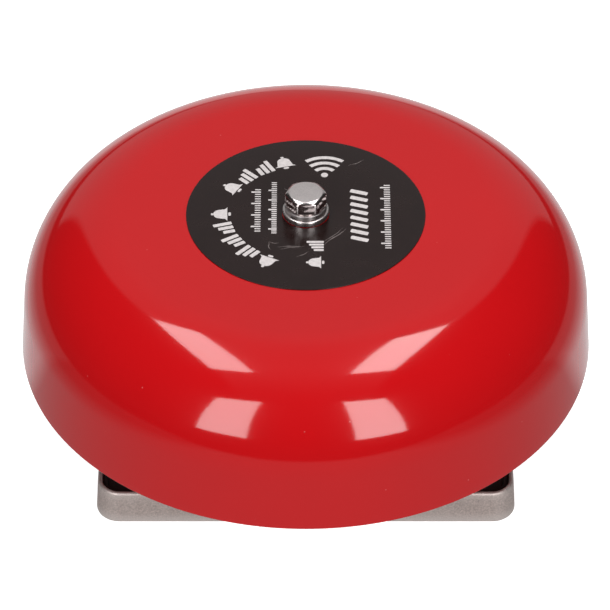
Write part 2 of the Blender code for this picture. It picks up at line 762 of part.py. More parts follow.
def build_wiring():
    clamp_front = TERMINAL_Y / MM + TERMINAL_SIZE.y / MM / 2 - 5.5
    bore_z = TERMINAL_BORE_Z / MM
    live = [
        (-TERMINAL_PITCH / MM, clamp_front, bore_z),
        (-TERMINAL_PITCH / MM, clamp_front + 10, bore_z + 0.5),
        (-13.0, -6.0, 22.0),
        (-14.0, 8.0, 34.0),
        (-14.6, 16.0, 37.0),
        (-12.4, 20.0, 38.0),
        (-10.8, 24.0, 37.8),
    ]
    neutral = [
        (0.0, clamp_front, bore_z),
        (1.5, clamp_front + 10, bore_z + 0.5),
        (11.5, -6.0, 22.0),
        (14.0, 8.0, 34.0),
        (14.6, 16.0, 37.0),
        (12.4, 20.0, 38.0),
        (10.8, 24.0, 37.8),
    ]
    earth = [
        (TERMINAL_PITCH / MM, clamp_front, bore_z),
        (TERMINAL_PITCH / MM, clamp_front + 8, bore_z),
        (14.0, -18.0, bore_z + 0.5),
        (20.0, -18.5, 13.5),
        (24.5, -21.5, 12.9),
    ]
    wire("live_lead", smooth_route(live, 26), LEAD_RADIUS, BROWN_PVC)
    wire("neutral_lead", smooth_route(neutral, 26), LEAD_RADIUS, BLUE_PVC)
    wire("earth_lead", smooth_route(earth, 18), LEAD_RADIUS, EARTH_PVC)


def build_earth_and_grommet():
    tag_low = EARTH_BOSS_Z + GAP
    tag_high = tag_low + 0.8 * MM
    tag = ring("earth_tag", 3.6 * MM, 1.9 * MM, tag_low, tag_high, PLATED_STEEL)
    tag.location = (EARTH_X, EARTH_Y, 0.0)
    pan_screw(
        "earth_screw", EARTH_X, EARTH_Y, tag_high + GAP, 3.2 * MM, 2.0 * MM, 1.5 * MM, 7 * MM, BRASS
    )
    neck = GROMMET_HOLE_RADIUS - GAP
    grommet = turned(
        "cable_grommet",
        [
            (4.0 * MM, BASE_FLOOR + 3.4 * MM),
            (6.6 * MM, BASE_FLOOR + 3.4 * MM),
            (8.0 * MM, BASE_FLOOR + 2.0 * MM),
            (8.0 * MM, BASE_FLOOR + GAP),
            (neck, BASE_FLOOR + GAP),
            (neck, 0.4 * MM),
            (4.0 * MM, 0.4 * MM),
        ],
        RUBBER,
    )
    grommet.location = (GROMMET_X, GROMMET_Y, 0.0)


build_tray()
build_cover()
build_post()
build_gong()
build_crown_stack()
build_yoke()
build_coil()
build_guides()
build_striker()
build_spring()
build_terminals()
build_wiring()
build_earth_and_grommet()
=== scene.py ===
"""Looks of the fire alarm bell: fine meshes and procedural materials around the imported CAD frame."""

import math

import bmesh
import bpy
from mathutils import Matrix, Vector


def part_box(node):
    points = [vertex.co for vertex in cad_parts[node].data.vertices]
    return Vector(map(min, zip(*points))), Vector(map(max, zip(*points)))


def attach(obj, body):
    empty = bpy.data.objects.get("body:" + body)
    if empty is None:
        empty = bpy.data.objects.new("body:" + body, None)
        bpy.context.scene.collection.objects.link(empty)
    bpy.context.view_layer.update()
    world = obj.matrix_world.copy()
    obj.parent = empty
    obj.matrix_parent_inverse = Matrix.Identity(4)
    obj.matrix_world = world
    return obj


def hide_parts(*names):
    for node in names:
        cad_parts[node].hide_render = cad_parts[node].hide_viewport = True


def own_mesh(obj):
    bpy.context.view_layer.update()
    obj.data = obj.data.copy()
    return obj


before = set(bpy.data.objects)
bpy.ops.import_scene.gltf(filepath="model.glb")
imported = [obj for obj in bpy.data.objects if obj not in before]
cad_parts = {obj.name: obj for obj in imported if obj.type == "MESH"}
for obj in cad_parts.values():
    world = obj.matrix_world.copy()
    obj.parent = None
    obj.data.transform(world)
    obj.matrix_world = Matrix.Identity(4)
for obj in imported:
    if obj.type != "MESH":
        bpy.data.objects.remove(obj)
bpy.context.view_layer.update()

MM = 0.001

# Shapes that the frame's boxes don't give.
GONG_THICKNESS = 1.8 * MM
SHOULDER_RADIUS = 27.0 * MM
WALL_DRAFT = math.radians(4.2)
GONG_HOLE_RADIUS = 3.3 * MM
LABEL_HOLE_RADIUS = 6.08 * MM
BOLT_FLATS = 9.7 * MM
BOLT_TOP_RADIUS = 4.15 * MM
BOLT_HEAD_HEIGHT = 3.9 * MM
BOLT_TURN = math.radians(3)
TRAY_CORNER = 6.0 * MM
TRAY_DRAFT = 0.6 * MM
TRAY_WALL = 2.2 * MM
TRAY_LIP = 1.1 * MM
TRAY_LEDGE_Z = 6.0 * MM
TRAY_HEIGHT = 9.8 * MM
TRAY_FLOOR = 2.4 * MM
STRIKER_Z = 30.0 * MM
EARTH_LEAD_END = (24.5, -21.5, 12.9)


# ---------------------------------------------------------------- meshes


def finish_mesh(name, shape, sharp_degrees=35):
    """Makes an object of a bmesh, shaded smooth up to the given angle."""
    bmesh.ops.recalc_face_normals(shape, faces=shape.faces)
    mesh = bpy.data.meshes.new(name)
    shape.to_mesh(mesh)
    shape.free()
    mesh.shade_smooth()
    mesh.set_sharp_from_angle(angle=math.radians(sharp_degrees))
    obj = bpy.data.objects.new(name, mesh)
    bpy.context.scene.collection.objects.link(obj)
    return obj


def arc(centre_r, centre_z, radius, start, end, steps):
    """(radius, z) points on an arc. Angles are in degrees."""
    angles = [math.radians(start + (end - start) * i / steps) for i in range(steps + 1)]
    return [(centre_r + radius * math.cos(a), centre_z + radius * math.sin(a)) for a in angles]


def rounded(profile, radius, steps=4):
    """Rounds every corner of an open (radius, z) profile, except its two ends."""
    points = [profile[0]]
    for before, corner, after in zip(profile, profile[1:], profile[2:]):
        corner = Vector(corner)
        back = Vector(before) - corner
        ahead = Vector(after) - corner
        reach = min(radius, 0.45 * back.length, 0.45 * ahead.length)
        start = corner + back.normalized() * reach
        end = corner + ahead.normalized() * reach
        for i in range(steps + 1):
            t = i / steps
            point = start * (1 - t) ** 2 + corner * 2 * t * (1 - t) + end * t**2
            points.append(tuple(point))
    points.append(profile[-1])
    return points


def polar(radius, angle, z):
    return radius * math.cos(angle), radius * math.sin(angle), z


def bridge(shape, rings):
    """Faces between neighbouring rings of the same number of verts."""
    for low, high in zip(rings, rings[1:]):
        for i in range(len(low)):
            j = (i + 1) % len(low)
            shape.faces.new((low[i], low[j], high[j], high[i]))


def bridge_and_cap(shape, rings):
    bridge(shape, rings)
    shape.faces.new(rings[0][::-1])
    shape.faces.new(rings[-1])


def turned_shape(profile, sides, closed=True):
    """A surface of revolution about Z. An open profile starts and ends on the axis."""
    shape = bmesh.new()
    rings = []
    for radius, z in profile:
        if radius < 1e-7:
            rings.append([shape.verts.new((0, 0, z))])
            continue
        rings.append([shape.verts.new(polar(radius, 2 * math.pi * i / sides, z)) for i in range(sides)])
    pairs = list(zip(rings, rings[1:]))
    if closed:
        pairs.append((rings[-1], rings[0]))
    for low, high in pairs:
        for i in range(sides):
            j = (i + 1) % sides
            if len(low) == 1 and len(high) == 1:
                continue
            if len(low) == 1:
                shape.faces.new((low[0], high[j], high[i]))
            elif len(high) == 1:
                shape.faces.new((low[i], low[j], high[0]))
            else:
                shape.faces.new((low[i], low[j], high[j], high[i]))
    return shape


def turned(name, profile, sides=64, closed=True, place=(0, 0, 0), along_y=False):
    shape = turned_shape(profile, sides, closed)
    turn = Matrix.Rotation(-math.pi / 2, 4, "X") if along_y else Matrix.Identity(4)
    bmesh.ops.transform(shape, matrix=Matrix.Translation(place) @ turn, verts=shape.verts)
    return finish_mesh(name, shape)


def turned_on_slide(name, profile, sides=64, closed=True):
    """A surface of revolution about the line on which the striker slides."""
    return turned(name, profile, sides, closed, (0, 0, STRIKER_Z), along_y=True)


def ring_profile(outer, inner, low, high, edge):
    """The section of a ring with rounded corners."""
    return rounded_loop([(inner, high), (outer, high), (outer, low), (inner, low)], edge)


def rounded_loop(corners, radius, steps=4):
    """Rounds every corner of a closed profile."""
    count = len(corners)
    points = []
    for i in range(count):
        piece = [corners[i - 1], corners[i], corners[(i + 1) % count]]
        points.extend(rounded(piece, radius, steps)[1:-1])
    return points


def block_shape(low, high, edge, segments=3):
    """A box with rounded edges."""
    low, high = Vector(low), Vector(high)
    shape = bmesh.new()
    bmesh.ops.create_cube(shape, size=1.0)
    bmesh.ops.scale(shape, verts=shape.verts, vec=high - low)
    bmesh.ops.translate(shape, verts=shape.verts, vec=(low + high) / 2)
    if edge:
        bmesh.ops.bevel(
            shape, geom=shape.edges, offset=edge, segments=segments, profile=0.5, affect="EDGES"
        )
    return shape


def cylinder_shape(radius, low, high, x=0.0, y=0.0, sides=32):
    shape = bmesh.new()
    bmesh.ops.create_cone(
        shape, cap_ends=True, segments=sides, radius1=radius, radius2=radius, depth=high - low
    )
    bmesh.ops.translate(shape, verts=shape.verts, vec=(x, y, (low + high) / 2))
    return shape


def apply_modifiers(obj):
    """Turns an object's modifiers into plain mesh."""
    depsgraph = bpy.context.evaluated_depsgraph_get()
    mesh = bpy.data.meshes.new_from_object(obj.evaluated_get(depsgraph))
    obj.modifiers.clear()
    old = obj.data
    obj.data = mesh
    bpy.data.meshes.remove(old)


def boolean(obj, shapes, operation, sharp_degrees=35):
    """Joins bmesh shapes to an object, or cuts them out of it."""
    tools = [finish_mesh(f"{obj.name}_tool", shape) for shape in shapes]
    for tool in tools:
        modifier = obj.modifiers.new("boolean", "BOOLEAN")
        modifier.operation = operation
        modifier.object = tool
    apply_modifiers(obj)
    for tool in tools:
        mesh = tool.data
        bpy.data.objects.remove(tool)
        bpy.data.meshes.remove(mesh)
    obj.data.set_sharp_from_angle(angle=math.radians(sharp_degrees))


def sweep(name, points, radius, sides=16):
    """A round wire with flat ends along a list of points."""
    shape = bmesh.new()
    points = [Vector(p) for p in points]
    side = None
    rings = []
    for i, point in enumerate(points):
        ahead = (points[min(i + 1, len(points) - 1)] - points[max(i - 1, 0)]).normalized()
        if side is None:
            side = ahead.orthogonal().normalized()
        side = (side - ahead * side.dot(ahead)).normalized()
        other = ahead.cross(side)
        ring = []
        for k in range(sides):
            angle = 2 * math.pi * k / sides
            offset = radius * (math.cos(angle) * side + math.sin(angle) * other)
            ring.append(shape.verts.new(point + offset))
        rings.append(ring)
    bridge_and_cap(shape, rings)
    return finish_mesh(name, shape)


def smooth_route(stops, count):
    """Points along a Catmull-Rom curve through the stops."""
    stops = [Vector(stop) * MM for stop in stops]
    padded = [2 * stops[0] - stops[1], *stops, 2 * stops[-1] - stops[-2]]
    points = []
    for i in range(count):
        place = i * (len(stops) - 1) / (count - 1)
        k = min(int(place), len(stops) - 2)
        t = place - k
        a, b, c, d = padded[k : k + 4]
        square = (2 * a - 5 * b + 4 * c - d) * t**2
        cube = (3 * b - a - 3 * c + d) * t**3
        points.append((2 * b + (c - a) * t + square + cube) / 2)
    return points


# ---------------------------------------------------------------- materials


class Nodes:
    """Short calls that add nodes to a tree."""

    def __init__(self, tree):
        self.nodes = tree.nodes
        self.links = tree.links

    def node(self, kind, inputs=None, **settings):
        """A node with its settings and inputs. An input is a number, a tuple or another node's socket."""
        node = self.nodes.new(kind)
        for name, value in settings.items():
            setattr(node, name, value)
        for key, value in (inputs or {}).items():
            socket = node.inputs[key]
            if isinstance(value, bpy.types.NodeSocket):
                self.links.new(value, socket)
            else:
                socket.default_value = (*value, 1.0) if socket.type == "RGBA" else value
        return node

    def math(self, operation, *values, clamp=False):
        inputs = dict(enumerate(values))
        return self.node("ShaderNodeMath", inputs, operation=operation, use_clamp=clamp).outputs[0]

    def remap(self, value, low, high, to_low=0.0, to_high=1.0):
        inputs = {"Value": value, "From Min": low, "From Max": high, "To Min": to_low, "To Max": to_high}
        return self.node("ShaderNodeMapRange", inputs).outputs["Result"]

    def axis(self, vector, name):
        return self.node("ShaderNodeSeparateXYZ", {0: vector}).outputs[name]

    def ramp(self, factor, stops):
        """Grey levels at (position, level) stops."""
        node = self.node("ShaderNodeValToRGB", {"Fac": factor})
        elements = node.color_ramp.elements
        elements.remove(elements[1])
        for i, (position, level) in enumerate(stops):
            element = elements[0] if i == 0 else elements.new(position)
            element.position = position
            element.color = (level, level, level, 1.0)
        return node.outputs["Color"]

    def mix(self, factor, first, second):
        """A shader that goes from first to second."""
        return self.node("ShaderNodeMixShader", {"Fac": factor, 1: first, 2: second}).outputs[0]


class Surface(Nodes):
    """A Principled material with short calls for the procedural detail on it."""

    def __init__(self, name, colour, roughness, metallic=0.0, **sockets):
        self.material = bpy.data.materials.new(name)
        self.material.use_nodes = True
        super().__init__(self.material.node_tree)
        self.shader = self.nodes["Principled BSDF"]
        values = {"Base_Color": (*colour, 1.0), "Roughness": roughness, "Metallic": metallic, **sockets}
        for socket, value in values.items():
            self.shader.inputs[socket.replace("_", " ")].default_value = value
        self.colour = colour
        self.place = self.node("ShaderNodeTexCoord").outputs["Object"]

    def link(self, source, socket_name):
        self.links.new(source, self.shader.inputs[socket_name])

    def stretched(self, scale):
        """Object coordinates multiplied along each axis."""
        return self.node("ShaderNodeMapping", {"Vector": self.place, "Scale": scale}).outputs["Vector"]

    def noise(self, scale, detail=3.0, rough=0.55, place=None):
        inputs = {"Vector": place or self.place, "Scale": scale, "Detail": detail, "Roughness": rough}
        return self.node("ShaderNodeTexNoise", inputs).outputs["Fac"]

    def specks(self, scale, size):
        """1 at the middle of sparse dots, falling to 0 at their edge."""
        inputs = {"Vector": self.place, "Scale": scale}
        distance = self.node("ShaderNodeTexVoronoi", inputs).outputs["Distance"]
        return self.remap(distance, 0.0, size, 1.0, 0.0)

    def wave(self, scale, distortion=0.0, **settings):
        inputs = {"Vector": self.place, "Scale": scale, "Distortion": distortion}
        return self.node("ShaderNodeTexWave", inputs, **settings).outputs["Fac"]

    def blend(self, factor, first, second):
        """A colour that goes from first to second. A colour is a triple or a socket."""
        inputs = {"Factor": factor, 6: first, 7: second}
        return self.node("ShaderNodeMix", inputs, data_type="RGBA").outputs[2]

    def paint(self, colour):
        self.link(colour, "Base Color")

    def vary(self, factor, spread):
        """Varies the base colour's brightness by the spread, up and down."""
        low = tuple(c * (1 - spread) for c in self.colour)
        high = tuple(min(1.0, c * (1 + spread)) for c in self.colour)
        self.paint(self.blend(factor, low, high))

    def gloss(self, factor, low, high):
        self.link(self.remap(factor, 0.0, 1.0, low, high), "Roughness")

    def bump(self, *layers):
        """Each layer is (height socket, height of 1 in metres)."""
        inputs = {}
        for height, distance in layers:
            inputs.update({"Height": height, "Distance": distance})
            inputs["Normal"] = self.node("ShaderNodeBump", inputs).outputs["Normal"]
        self.link(inputs["Normal"], "Normal")

    def painted_edge_highlight(self, sharpness, colour, base):
        """Another colour along convex edges, used as a painted highlight."""
        point = self.node("ShaderNodeNewGeometry").outputs["Pointiness"]
        return self.blend(self.remap(point, 0.5, 0.5 + sharpness), base, colour)


def enamel():
    """Gloss red stove enamel with faint orange peel and a few specks of dust in it."""
    colour = (0.49, 0.0045, 0.0066)
    s = Surface("red_enamel", colour, 0.07, IOR=1.5, Coat_Weight=0.07, Coat_Roughness=0.25)
    broad = s.noise(45.0, 2.0)
    peel = s.noise(700.0, 2.0)
    patches = s.remap(s.noise(35.0, 1.0), 0.48, 0.56)
    dust = s.math("MULTIPLY", s.specks(170.0, 0.045), patches)
    low, high = (0.48, 0.0043, 0.0064), (0.51, 0.0047, 0.0068)
    s.paint(s.blend(s.math("MULTIPLY", dust, 0.6), s.blend(broad, low, high), (0.72, 0.22, 0.22)))
    s.gloss(peel, 0.055, 0.085)
    s.bump((broad, 0.000025), (peel, 0.0000028), (dust, 0.00002))
    return s.material


def label_film():
    s = Surface("label_film", (0.0105, 0.0032, 0.0026), 0.09, IOR=1.5)
    grain = s.noise(900.0, 3.0)
    rubbed = s.noise(160.0, 4.0, 0.65)
    s.vary(rubbed, 0.25)
    s.gloss(rubbed, 0.2, 0.32)
    s.bump((grain, 0.0000008))
    return s.material


def ink(name, colour):
    s = Surface(name, colour, 0.35)
    grain = s.noise(1500.0, 3.0)
    s.vary(s.remap(grain, 0.35, 0.65), 0.09)
    s.gloss(grain, 0.3, 0.45)
    s.bump((grain, 0.000002))
    return s.material


def scratched_film():
    s = Surface("scratched_film", (0.16, 0.13, 0.125), 0.45)
    grain = s.noise(2500.0, 2.0)
    s.vary(grain, 0.5)
    s.bump((grain, 0.00001))
    return s.material


def plated(name, colour, roughness, rings=True):
    """Bright plating over turned or rolled steel."""
    s = Surface(name, colour, roughness, 1.0)
    cloud = s.noise(350.0, 4.0)
    grain = s.noise(1.0, 3.0, place=s.stretched((6000.0, 900.0, 2500.0)))
    s.vary(cloud, 0.1)
    s.gloss(cloud, roughness * 0.7, roughness * 1.35)
    layers = [(grain, 0.000003), (cloud, 0.000004)]
    if rings:
        layers.append((s.wave(1800.0, 1.5, wave_type="RINGS", rings_direction="Z"), 0.0000012))
    s.bump(*layers)
    return s.material


def screw_plating():
    """Plating that is satin on the screw's flat top and bright on its sides."""
    s = Surface("bolt_plating", (0.88, 0.81, 0.80), 0.3, 1.0)
    upward = s.axis(s.node("ShaderNodeNewGeometry").outputs["Normal"], "Z")
    cloud = s.noise(500.0, 4.0)
    grain = s.noise(5200.0, 3.0)
    s.vary(s.remap(grain, 0.3, 0.7), 0.12)
    satin = s.remap(upward, 0.8, 0.97, 0.10, 0.36)
    s.link(s.math("MULTIPLY", satin, s.remap(cloud, 0.0, 1.0, 0.8, 1.2)), "Roughness")
    s.bump((grain, 0.000004), (cloud, 0.000006))
    return s.material


def iron(name, colour, roughness):
    s = Surface(name, colour, roughness, 1.0)
    rolled = s.noise(1.0, 4.0, place=s.stretched((300.0, 300.0, 3500.0)))
    stain = s.noise(140.0, 5.0, 0.65)
    stained = tuple(0.45 * c for c in colour)
    s.paint(s.blend(s.remap(stain, 0.55, 0.75, 0.0, 0.7), colour, stained))
    s.gloss(stain, roughness * 0.8, roughness * 1.4)
    s.bump((rolled, 0.000008))
    return s.material


def machined(name, colour, roughness, scale=2200.0):
    """Turned metal with fine tool marks round its axis."""
    s = Surface(name, colour, roughness, 1.0)
    marks = s.noise(1.0, 2.0, place=s.stretched((scale, scale * 0.15, scale)))
    tarnish = s.noise(220.0, 4.0)
    s.vary(tarnish, 0.22)
    s.gloss(tarnish, roughness * 0.7, roughness * 1.5)
    s.bump((marks, 0.000004))
    return s.material


def casting():
    """Sand-textured die casting, with dark pits, a painted highlight along its convex edges and painted
    floor light along its bottom.
    """
    s = Surface("cast_metal", (0.50, 0.40, 0.37), 0.5, 0.72)
    fine = s.noise(2300.0, 3.0, 0.6)
    coarse = s.noise(520.0, 4.0, 0.6)
    cloud = s.noise(75.0, 3.0)
    pits = s.specks(260.0, 0.09)
    body = s.blend(s.remap(fine, 0.3, 0.7), (0.36, 0.29, 0.265), (0.70, 0.58, 0.54))
    body = s.blend(s.remap(coarse, 0.4, 0.8, 0.0, 0.5), body, (0.40, 0.32, 0.295))
    body = s.blend(s.remap(cloud, 0.4, 0.75, 0.0, 0.35), body, (0.66, 0.58, 0.55))
    body = s.blend(s.remap(pits, 0.0, 1.0, 0.0, 0.6), body, (0.14, 0.11, 0.11))
    # Painted light: the colour grows lighter towards the bottom, standing in for the floor's light on the
    # bottom fillet.
    foot = s.remap(s.axis(s.place, "Z"), 0.0035, 0.0006, 0.0, 0.6)
    body = s.blend(foot, body, (0.80, 0.72, 0.69))
    # Painted highlight: convex edges such as the lip are lighter, where they catch the light.
    s.paint(s.painted_edge_highlight(0.06, (0.78, 0.70, 0.67), body))
    s.gloss(coarse, 0.42, 0.62)
    s.bump((coarse, 0.00005), (fine, 0.00003), (pits, -0.00005))
    return s.material


def moulded(name, colour, roughness, grain_height=0.000012, spread=0.08, **sockets):
    """Moulded plastic or rubber with a fine spark-eroded grain."""
    s = Surface(name, colour, roughness, **sockets)
    grain = s.noise(2600.0, 3.0)
    flow = s.noise(90.0, 3.0)
    s.vary(flow, spread)
    s.gloss(grain, roughness * 0.85, min(1.0, roughness * 1.2))
    s.bump((grain, grain_height), (flow, 0.00002))
    return s.material


def wound(name, colour, pitch, roughness=0.3):
    """Wire turns side by side along Y, with painted shade in the grooves between them."""
    s = Surface(name, colour, roughness, 0.9)
    turns = s.wave(math.pi * 2 / pitch / 20, bands_direction="Y")
    cloud = s.noise(180.0, 3.0)
    # Painted shade: the colour darkens to a third in each groove between turns, and also where the cloud
    # is low.
    s.paint(s.blend(s.math("MULTIPLY", turns, cloud), tuple(0.35 * c for c in colour), colour))
    s.bump((turns, 0.00008))
    return s.material


def film_tape():
    s = Surface("coil_tape", (0.66, 0.44, 0.05), 0.28, IOR=1.5)
    wrap = s.wave(7.0, 0.6, bands_direction="Y")
    crinkle = s.noise(420.0, 4.0)
    s.paint(s.blend(s.remap(wrap, 0.75, 0.95), (0.66, 0.44, 0.05), (0.40, 0.23, 0.02)))
    s.gloss(crinkle, 0.18, 0.4)
    s.bump((wrap, 0.00005), (crinkle, 0.00003))
    return s.material


def vulcanised_fibre():
    s = Surface("fibre", (0.30, 0.075, 0.035), 0.7)
    layers = s.noise(1.0, 3.0, place=s.stretched((900.0, 900.0, 6000.0)))
    s.vary(layers, 0.3)
    s.bump((layers, 0.00003))
    return s.material


def earth_insulation():
    """Green insulation with a yellow stripe."""
    s = Surface("earth_insulation", (0.10, 0.36, 0.05), 0.4)
    stripe = s.wave(38.0, 0.4, bands_direction="DIAGONAL")
    s.paint(s.blend(s.remap(stripe, 0.62, 0.68), (0.06, 0.30, 0.04), (0.80, 0.66, 0.04)))
    s.bump((s.noise(2000.0), 0.000006))
    return s.material


ENAMEL = enamel()
LABEL_FILM = label_film()
INK = ink("label_ink", (0.60, 0.555, 0.55))
SCRATCH = scratched_film()
BOLT_PLATING = screw_plating()
WASHER_PLATING = plated("washer_plating", (0.72, 0.67, 0.66), 0.27)
ZINC = plated("zinc_plating", (0.64, 0.62, 0.58), 0.3, rings=False)
CASTING = casting()
BLACK_COVER = moulded("black_cover", (0.011, 0.0095, 0.009), 0.6, 0.00002)
YOKE_IRON = iron("yoke_iron", (0.42, 0.42, 0.44), 0.36)
SPRING_STEEL = machined("spring_steel", (0.55, 0.55, 0.56), 0.25)
BRASS = machined("brass", (0.72, 0.50, 0.20), 0.25)
NYLON = moulded("natural_nylon", (0.70, 0.66, 0.55), 0.4, 0.000008, 0.06)
WHITE_NYLON = moulded("terminal_nylon", (0.78, 0.77, 0.73), 0.38, 0.000008, 0.05)
FIBRE = vulcanised_fibre()
RUBBER = moulded("black_rubber", (0.018, 0.018, 0.019), 0.75, 0.00003, 0.2)
COPPER = wound("enamelled_copper", (0.68, 0.26, 0.10), 0.0004)
TAPE = film_tape()
BROWN_PVC = moulded("brown_insulation", (0.12, 0.045, 0.02), 0.38, 0.000006, 0.15)
BLUE_PVC = moulded("blue_insulation", (0.02, 0.10, 0.42), 0.38, 0.000006, 0.12)
EARTH_PVC = earth_insulation()


# ---------------------------------------------------------------- placing


def dress(obj, material, body="base", replaces=()):
    """Gives a new piece its material and body, and hides the CAD nodes that it stands for."""
    obj.data.materials.clear()
    obj.data.materials.append(material)
    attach(obj, body)
    if replaces:
        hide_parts(*replaces)


def centre_of(node):
    low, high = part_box(node)
    return (Vector(low) + Vector(high)) / 2


# ---------------------------------------------------------------- gong, label and screw


def build_gong():
    low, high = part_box("gong")
    rim_radius, rim_z, top_z = high[0], low[2], high[2]
    centre_z = top_z - SHOULDER_RADIUS
    rise = (centre_z - rim_z) * math.sin(WALL_DRAFT)
    centre_r = rim_radius - (SHOULDER_RADIUS + rise) / math.cos(WALL_DRAFT)
    draft = math.degrees(WALL_DRAFT)
    inner_rim = rim_radius - GONG_THICKNESS / math.cos(WALL_DRAFT)
    crown = [
        (GONG_HOLE_RADIUS + (centre_r - GONG_HOLE_RADIUS) * i / 8, top_z) for i in range(8)
    ]
    outer = arc(centre_r, centre_z, SHOULDER_RADIUS, 90, draft, 56)
    wall_top_z = outer[-1][1]
    lip = 0.45 * GONG_THICKNESS
    wall = []
    for i in range(1, 9):
        z = wall_top_z + (rim_z + lip - wall_top_z) * i / 8
        wall.append((rim_radius - (z - rim_z) * math.tan(WALL_DRAFT), z))
    rim = rounded(
        [wall[-1], (rim_radius, rim_z), (inner_rim, rim_z), (inner_rim, rim_z + 2 * lip)], lip, 6
    )[1:-1]
    inner = arc(centre_r, centre_z, SHOULDER_RADIUS - GONG_THICKNESS, draft, 90, 32)
    under = [
        (centre_r + (GONG_HOLE_RADIUS - centre_r) * i / 6, top_z - GONG_THICKNESS) for i in range(1, 7)
    ]
    gong = turned("gong_shell", crown + outer + wall[:-1] + rim + inner + under, sides=288)
    dress(gong, ENAMEL, replaces=["gong"])


def build_label():
    low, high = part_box("gong_label")
    profile = ring_profile(high[0], LABEL_HOLE_RADIUS, low[2] - 0.04 * MM, high[2] - 0.12 * MM, 0.05 * MM)
    film = turned("label_disc", profile, sides=192)
    dress(film, LABEL_FILM, replaces=["gong_label"])
    return high[2] - 0.12 * MM


def label_point(across, up, z):
    """Label positions in mm. Up on the label points to -X, and its lines run towards +Y."""
    return Vector((-up * MM, across * MM, z))


class Print:
    """Flat printed shapes, collected into one mesh of thin slabs."""

    def __init__(self, low, high):
        self.shape = bmesh.new()
        self.low = low
        self.high = high

    def add(self, outline):
        """A slab with the given (across, up) outline in mm."""
        bottom = [self.shape.verts.new(label_point(a, u, self.low)) for a, u in outline]
        top = [self.shape.verts.new(label_point(a, u, self.high)) for a, u in outline]
        self.shape.faces.new(top)
        self.shape.faces.new(bottom[::-1])
        for i in range(len(outline)):
            j = (i + 1) % len(outline)
            self.shape.faces.new((bottom[i], bottom[j], top[j], top[i]))

    def bar(self, across, up, width, height, turn=0.0, corner=0.25):
        """A bar with round corners, centred on a point and turned anticlockwise."""
        corner = min(corner, width / 2, height / 2)
        outline = []
        for quarter, (sx, sy) in enumerate(((1, 1), (-1, 1), (-1, -1), (1, -1))):
            for step in range(4):
                angle = math.pi / 2 * (quarter + step / 3)
                x = sx * (width / 2 - corner) + corner * math.cos(angle)
                y = sy * (height / 2 - corner) + corner * math.sin(angle)
                outline.append(self.turned_point(across, up, x, y, turn))
        self.add(outline)

    def band(self, across, up, radius, width, start, end, turn=0.0, steps=16):
        """Part of a ring, from one angle to another in degrees."""
        angles = [math.radians(start + (end - start) * i / steps) for i in range(steps + 1)]
        for first, second in zip(angles, angles[1:]):
            outline = []
            for angle, reach in (
                (first, radius + width / 2),
                (second, radius + width / 2),
                (second, radius - width / 2),
                (first, radius - width / 2),
            ):
                x, y = reach * math.cos(angle), reach * math.sin(angle)
                outline.append(self.turned_point(across, up, x, y, turn))
            self.add(outline[::-1])

    @staticmethod
    def turned_point(across, up, x, y, turn):
        c, s = math.cos(turn), math.sin(turn)
        return across + c * x - s * y, up + s * x + c * y

    def bell(self, across, up, size, turn=0.0):
        """A generic bell sign: dome, flared mouth, knob and clapper."""
        half = size / 2
        dome = [(0.33 * size * math.cos(a), 0.12 * half + 0.62 * half * math.sin(a))
                for a in (math.pi * i / 12 for i in range(13))]
        skirt = [(-0.38 * size, -0.42 * half), (-0.52 * size, -0.62 * half),
                 (0.52 * size, -0.62 * half), (0.38 * size, -0.42 * half)]
        self.add([self.turned_point(across, up, x, y, turn) for x, y in dome + skirt])
        knob = (0.86 * half, 0.16 * size, 0.12 * size)
        clapper = (-0.84 * half, 0.28 * size, 0.13 * size)
        for offset, width, height in (knob, clapper):
            x, y = self.turned_point(across, up, 0.0, offset, turn)
            self.bar(x, y, width, height, turn, 0.4)

    def levels(self, across, up, size, turn=0.0, count=3):
        """Bars of rising height, a generic sign for loudness."""
        step = size / count
        for i in range(count):
            height = size * (0.45 + 0.55 * (i + 1) / count)
            x = (i - (count - 1) / 2) * step
            y = (height - size) / 2
            place = self.turned_point(across, up, x, y, turn)
            self.bar(*place, 0.7 * step, height, turn, 0.2)

    def ticks(self, across, up, height, count, pitch):
        """A row of scale ticks: every fifth is tall and broad, and the rest are short."""
        for i in range(count):
            tall = i % 5 == 2
            size = height if tall else 0.62 * height
            x = across + (i - (count - 1) / 2) * pitch
            self.bar(x, up - (height - size) / 2, 0.55 if tall else 0.4, size, corner=0.12)

    def finish(self, name, material):
        dress(finish_mesh(name, self.shape), material)


def build_print(top):
    """Generic graphics: bell and loudness signs, sound waves, slanted bars and rows of scale ticks."""
    sheet = Print(top - 0.02 * MM, top + 0.03 * MM)
    for i, degrees in enumerate((-63, -47.5, -32, -16.5, -1, 29, 44.5, 60, 75)):
        angle = math.radians(degrees)
        across, up = 21.9 * math.sin(angle), 21.9 * math.cos(angle)
        if i in (0, 4, 5, 8):
            sheet.bell(across, up, 5.3, -angle)
        else:
            sheet.levels(across, up, 4.9, -angle)
    for radius, half_angle in ((3.2, 46), (5.5, 42), (7.8, 38)):
        sheet.band(15.6, -4.9, radius, 1.15, -half_angle, half_angle)
    sheet.bar(16.0, -4.9, 1.9, 1.9, corner=0.95)
    sheet.ticks(1.2, 12.9, 2.5, 19, 0.95)
    sheet.ticks(2.3, 8.6, 2.2, 27, 0.8)
    for i in range(8):
        sheet.bar(-0.9 + (i - 3.5) * 2.75, -13.8, 1.35, 4.7, turn=-0.32, corner=0.3)
    sheet.ticks(-1.3, -20.6, 2.6, 29, 0.92)
    sheet.bell(-20.0, -2.4, 4.8)
    sheet.levels(-13.4, -2.4, 4.4, count=4)
    sheet.finish("label_print", INK)


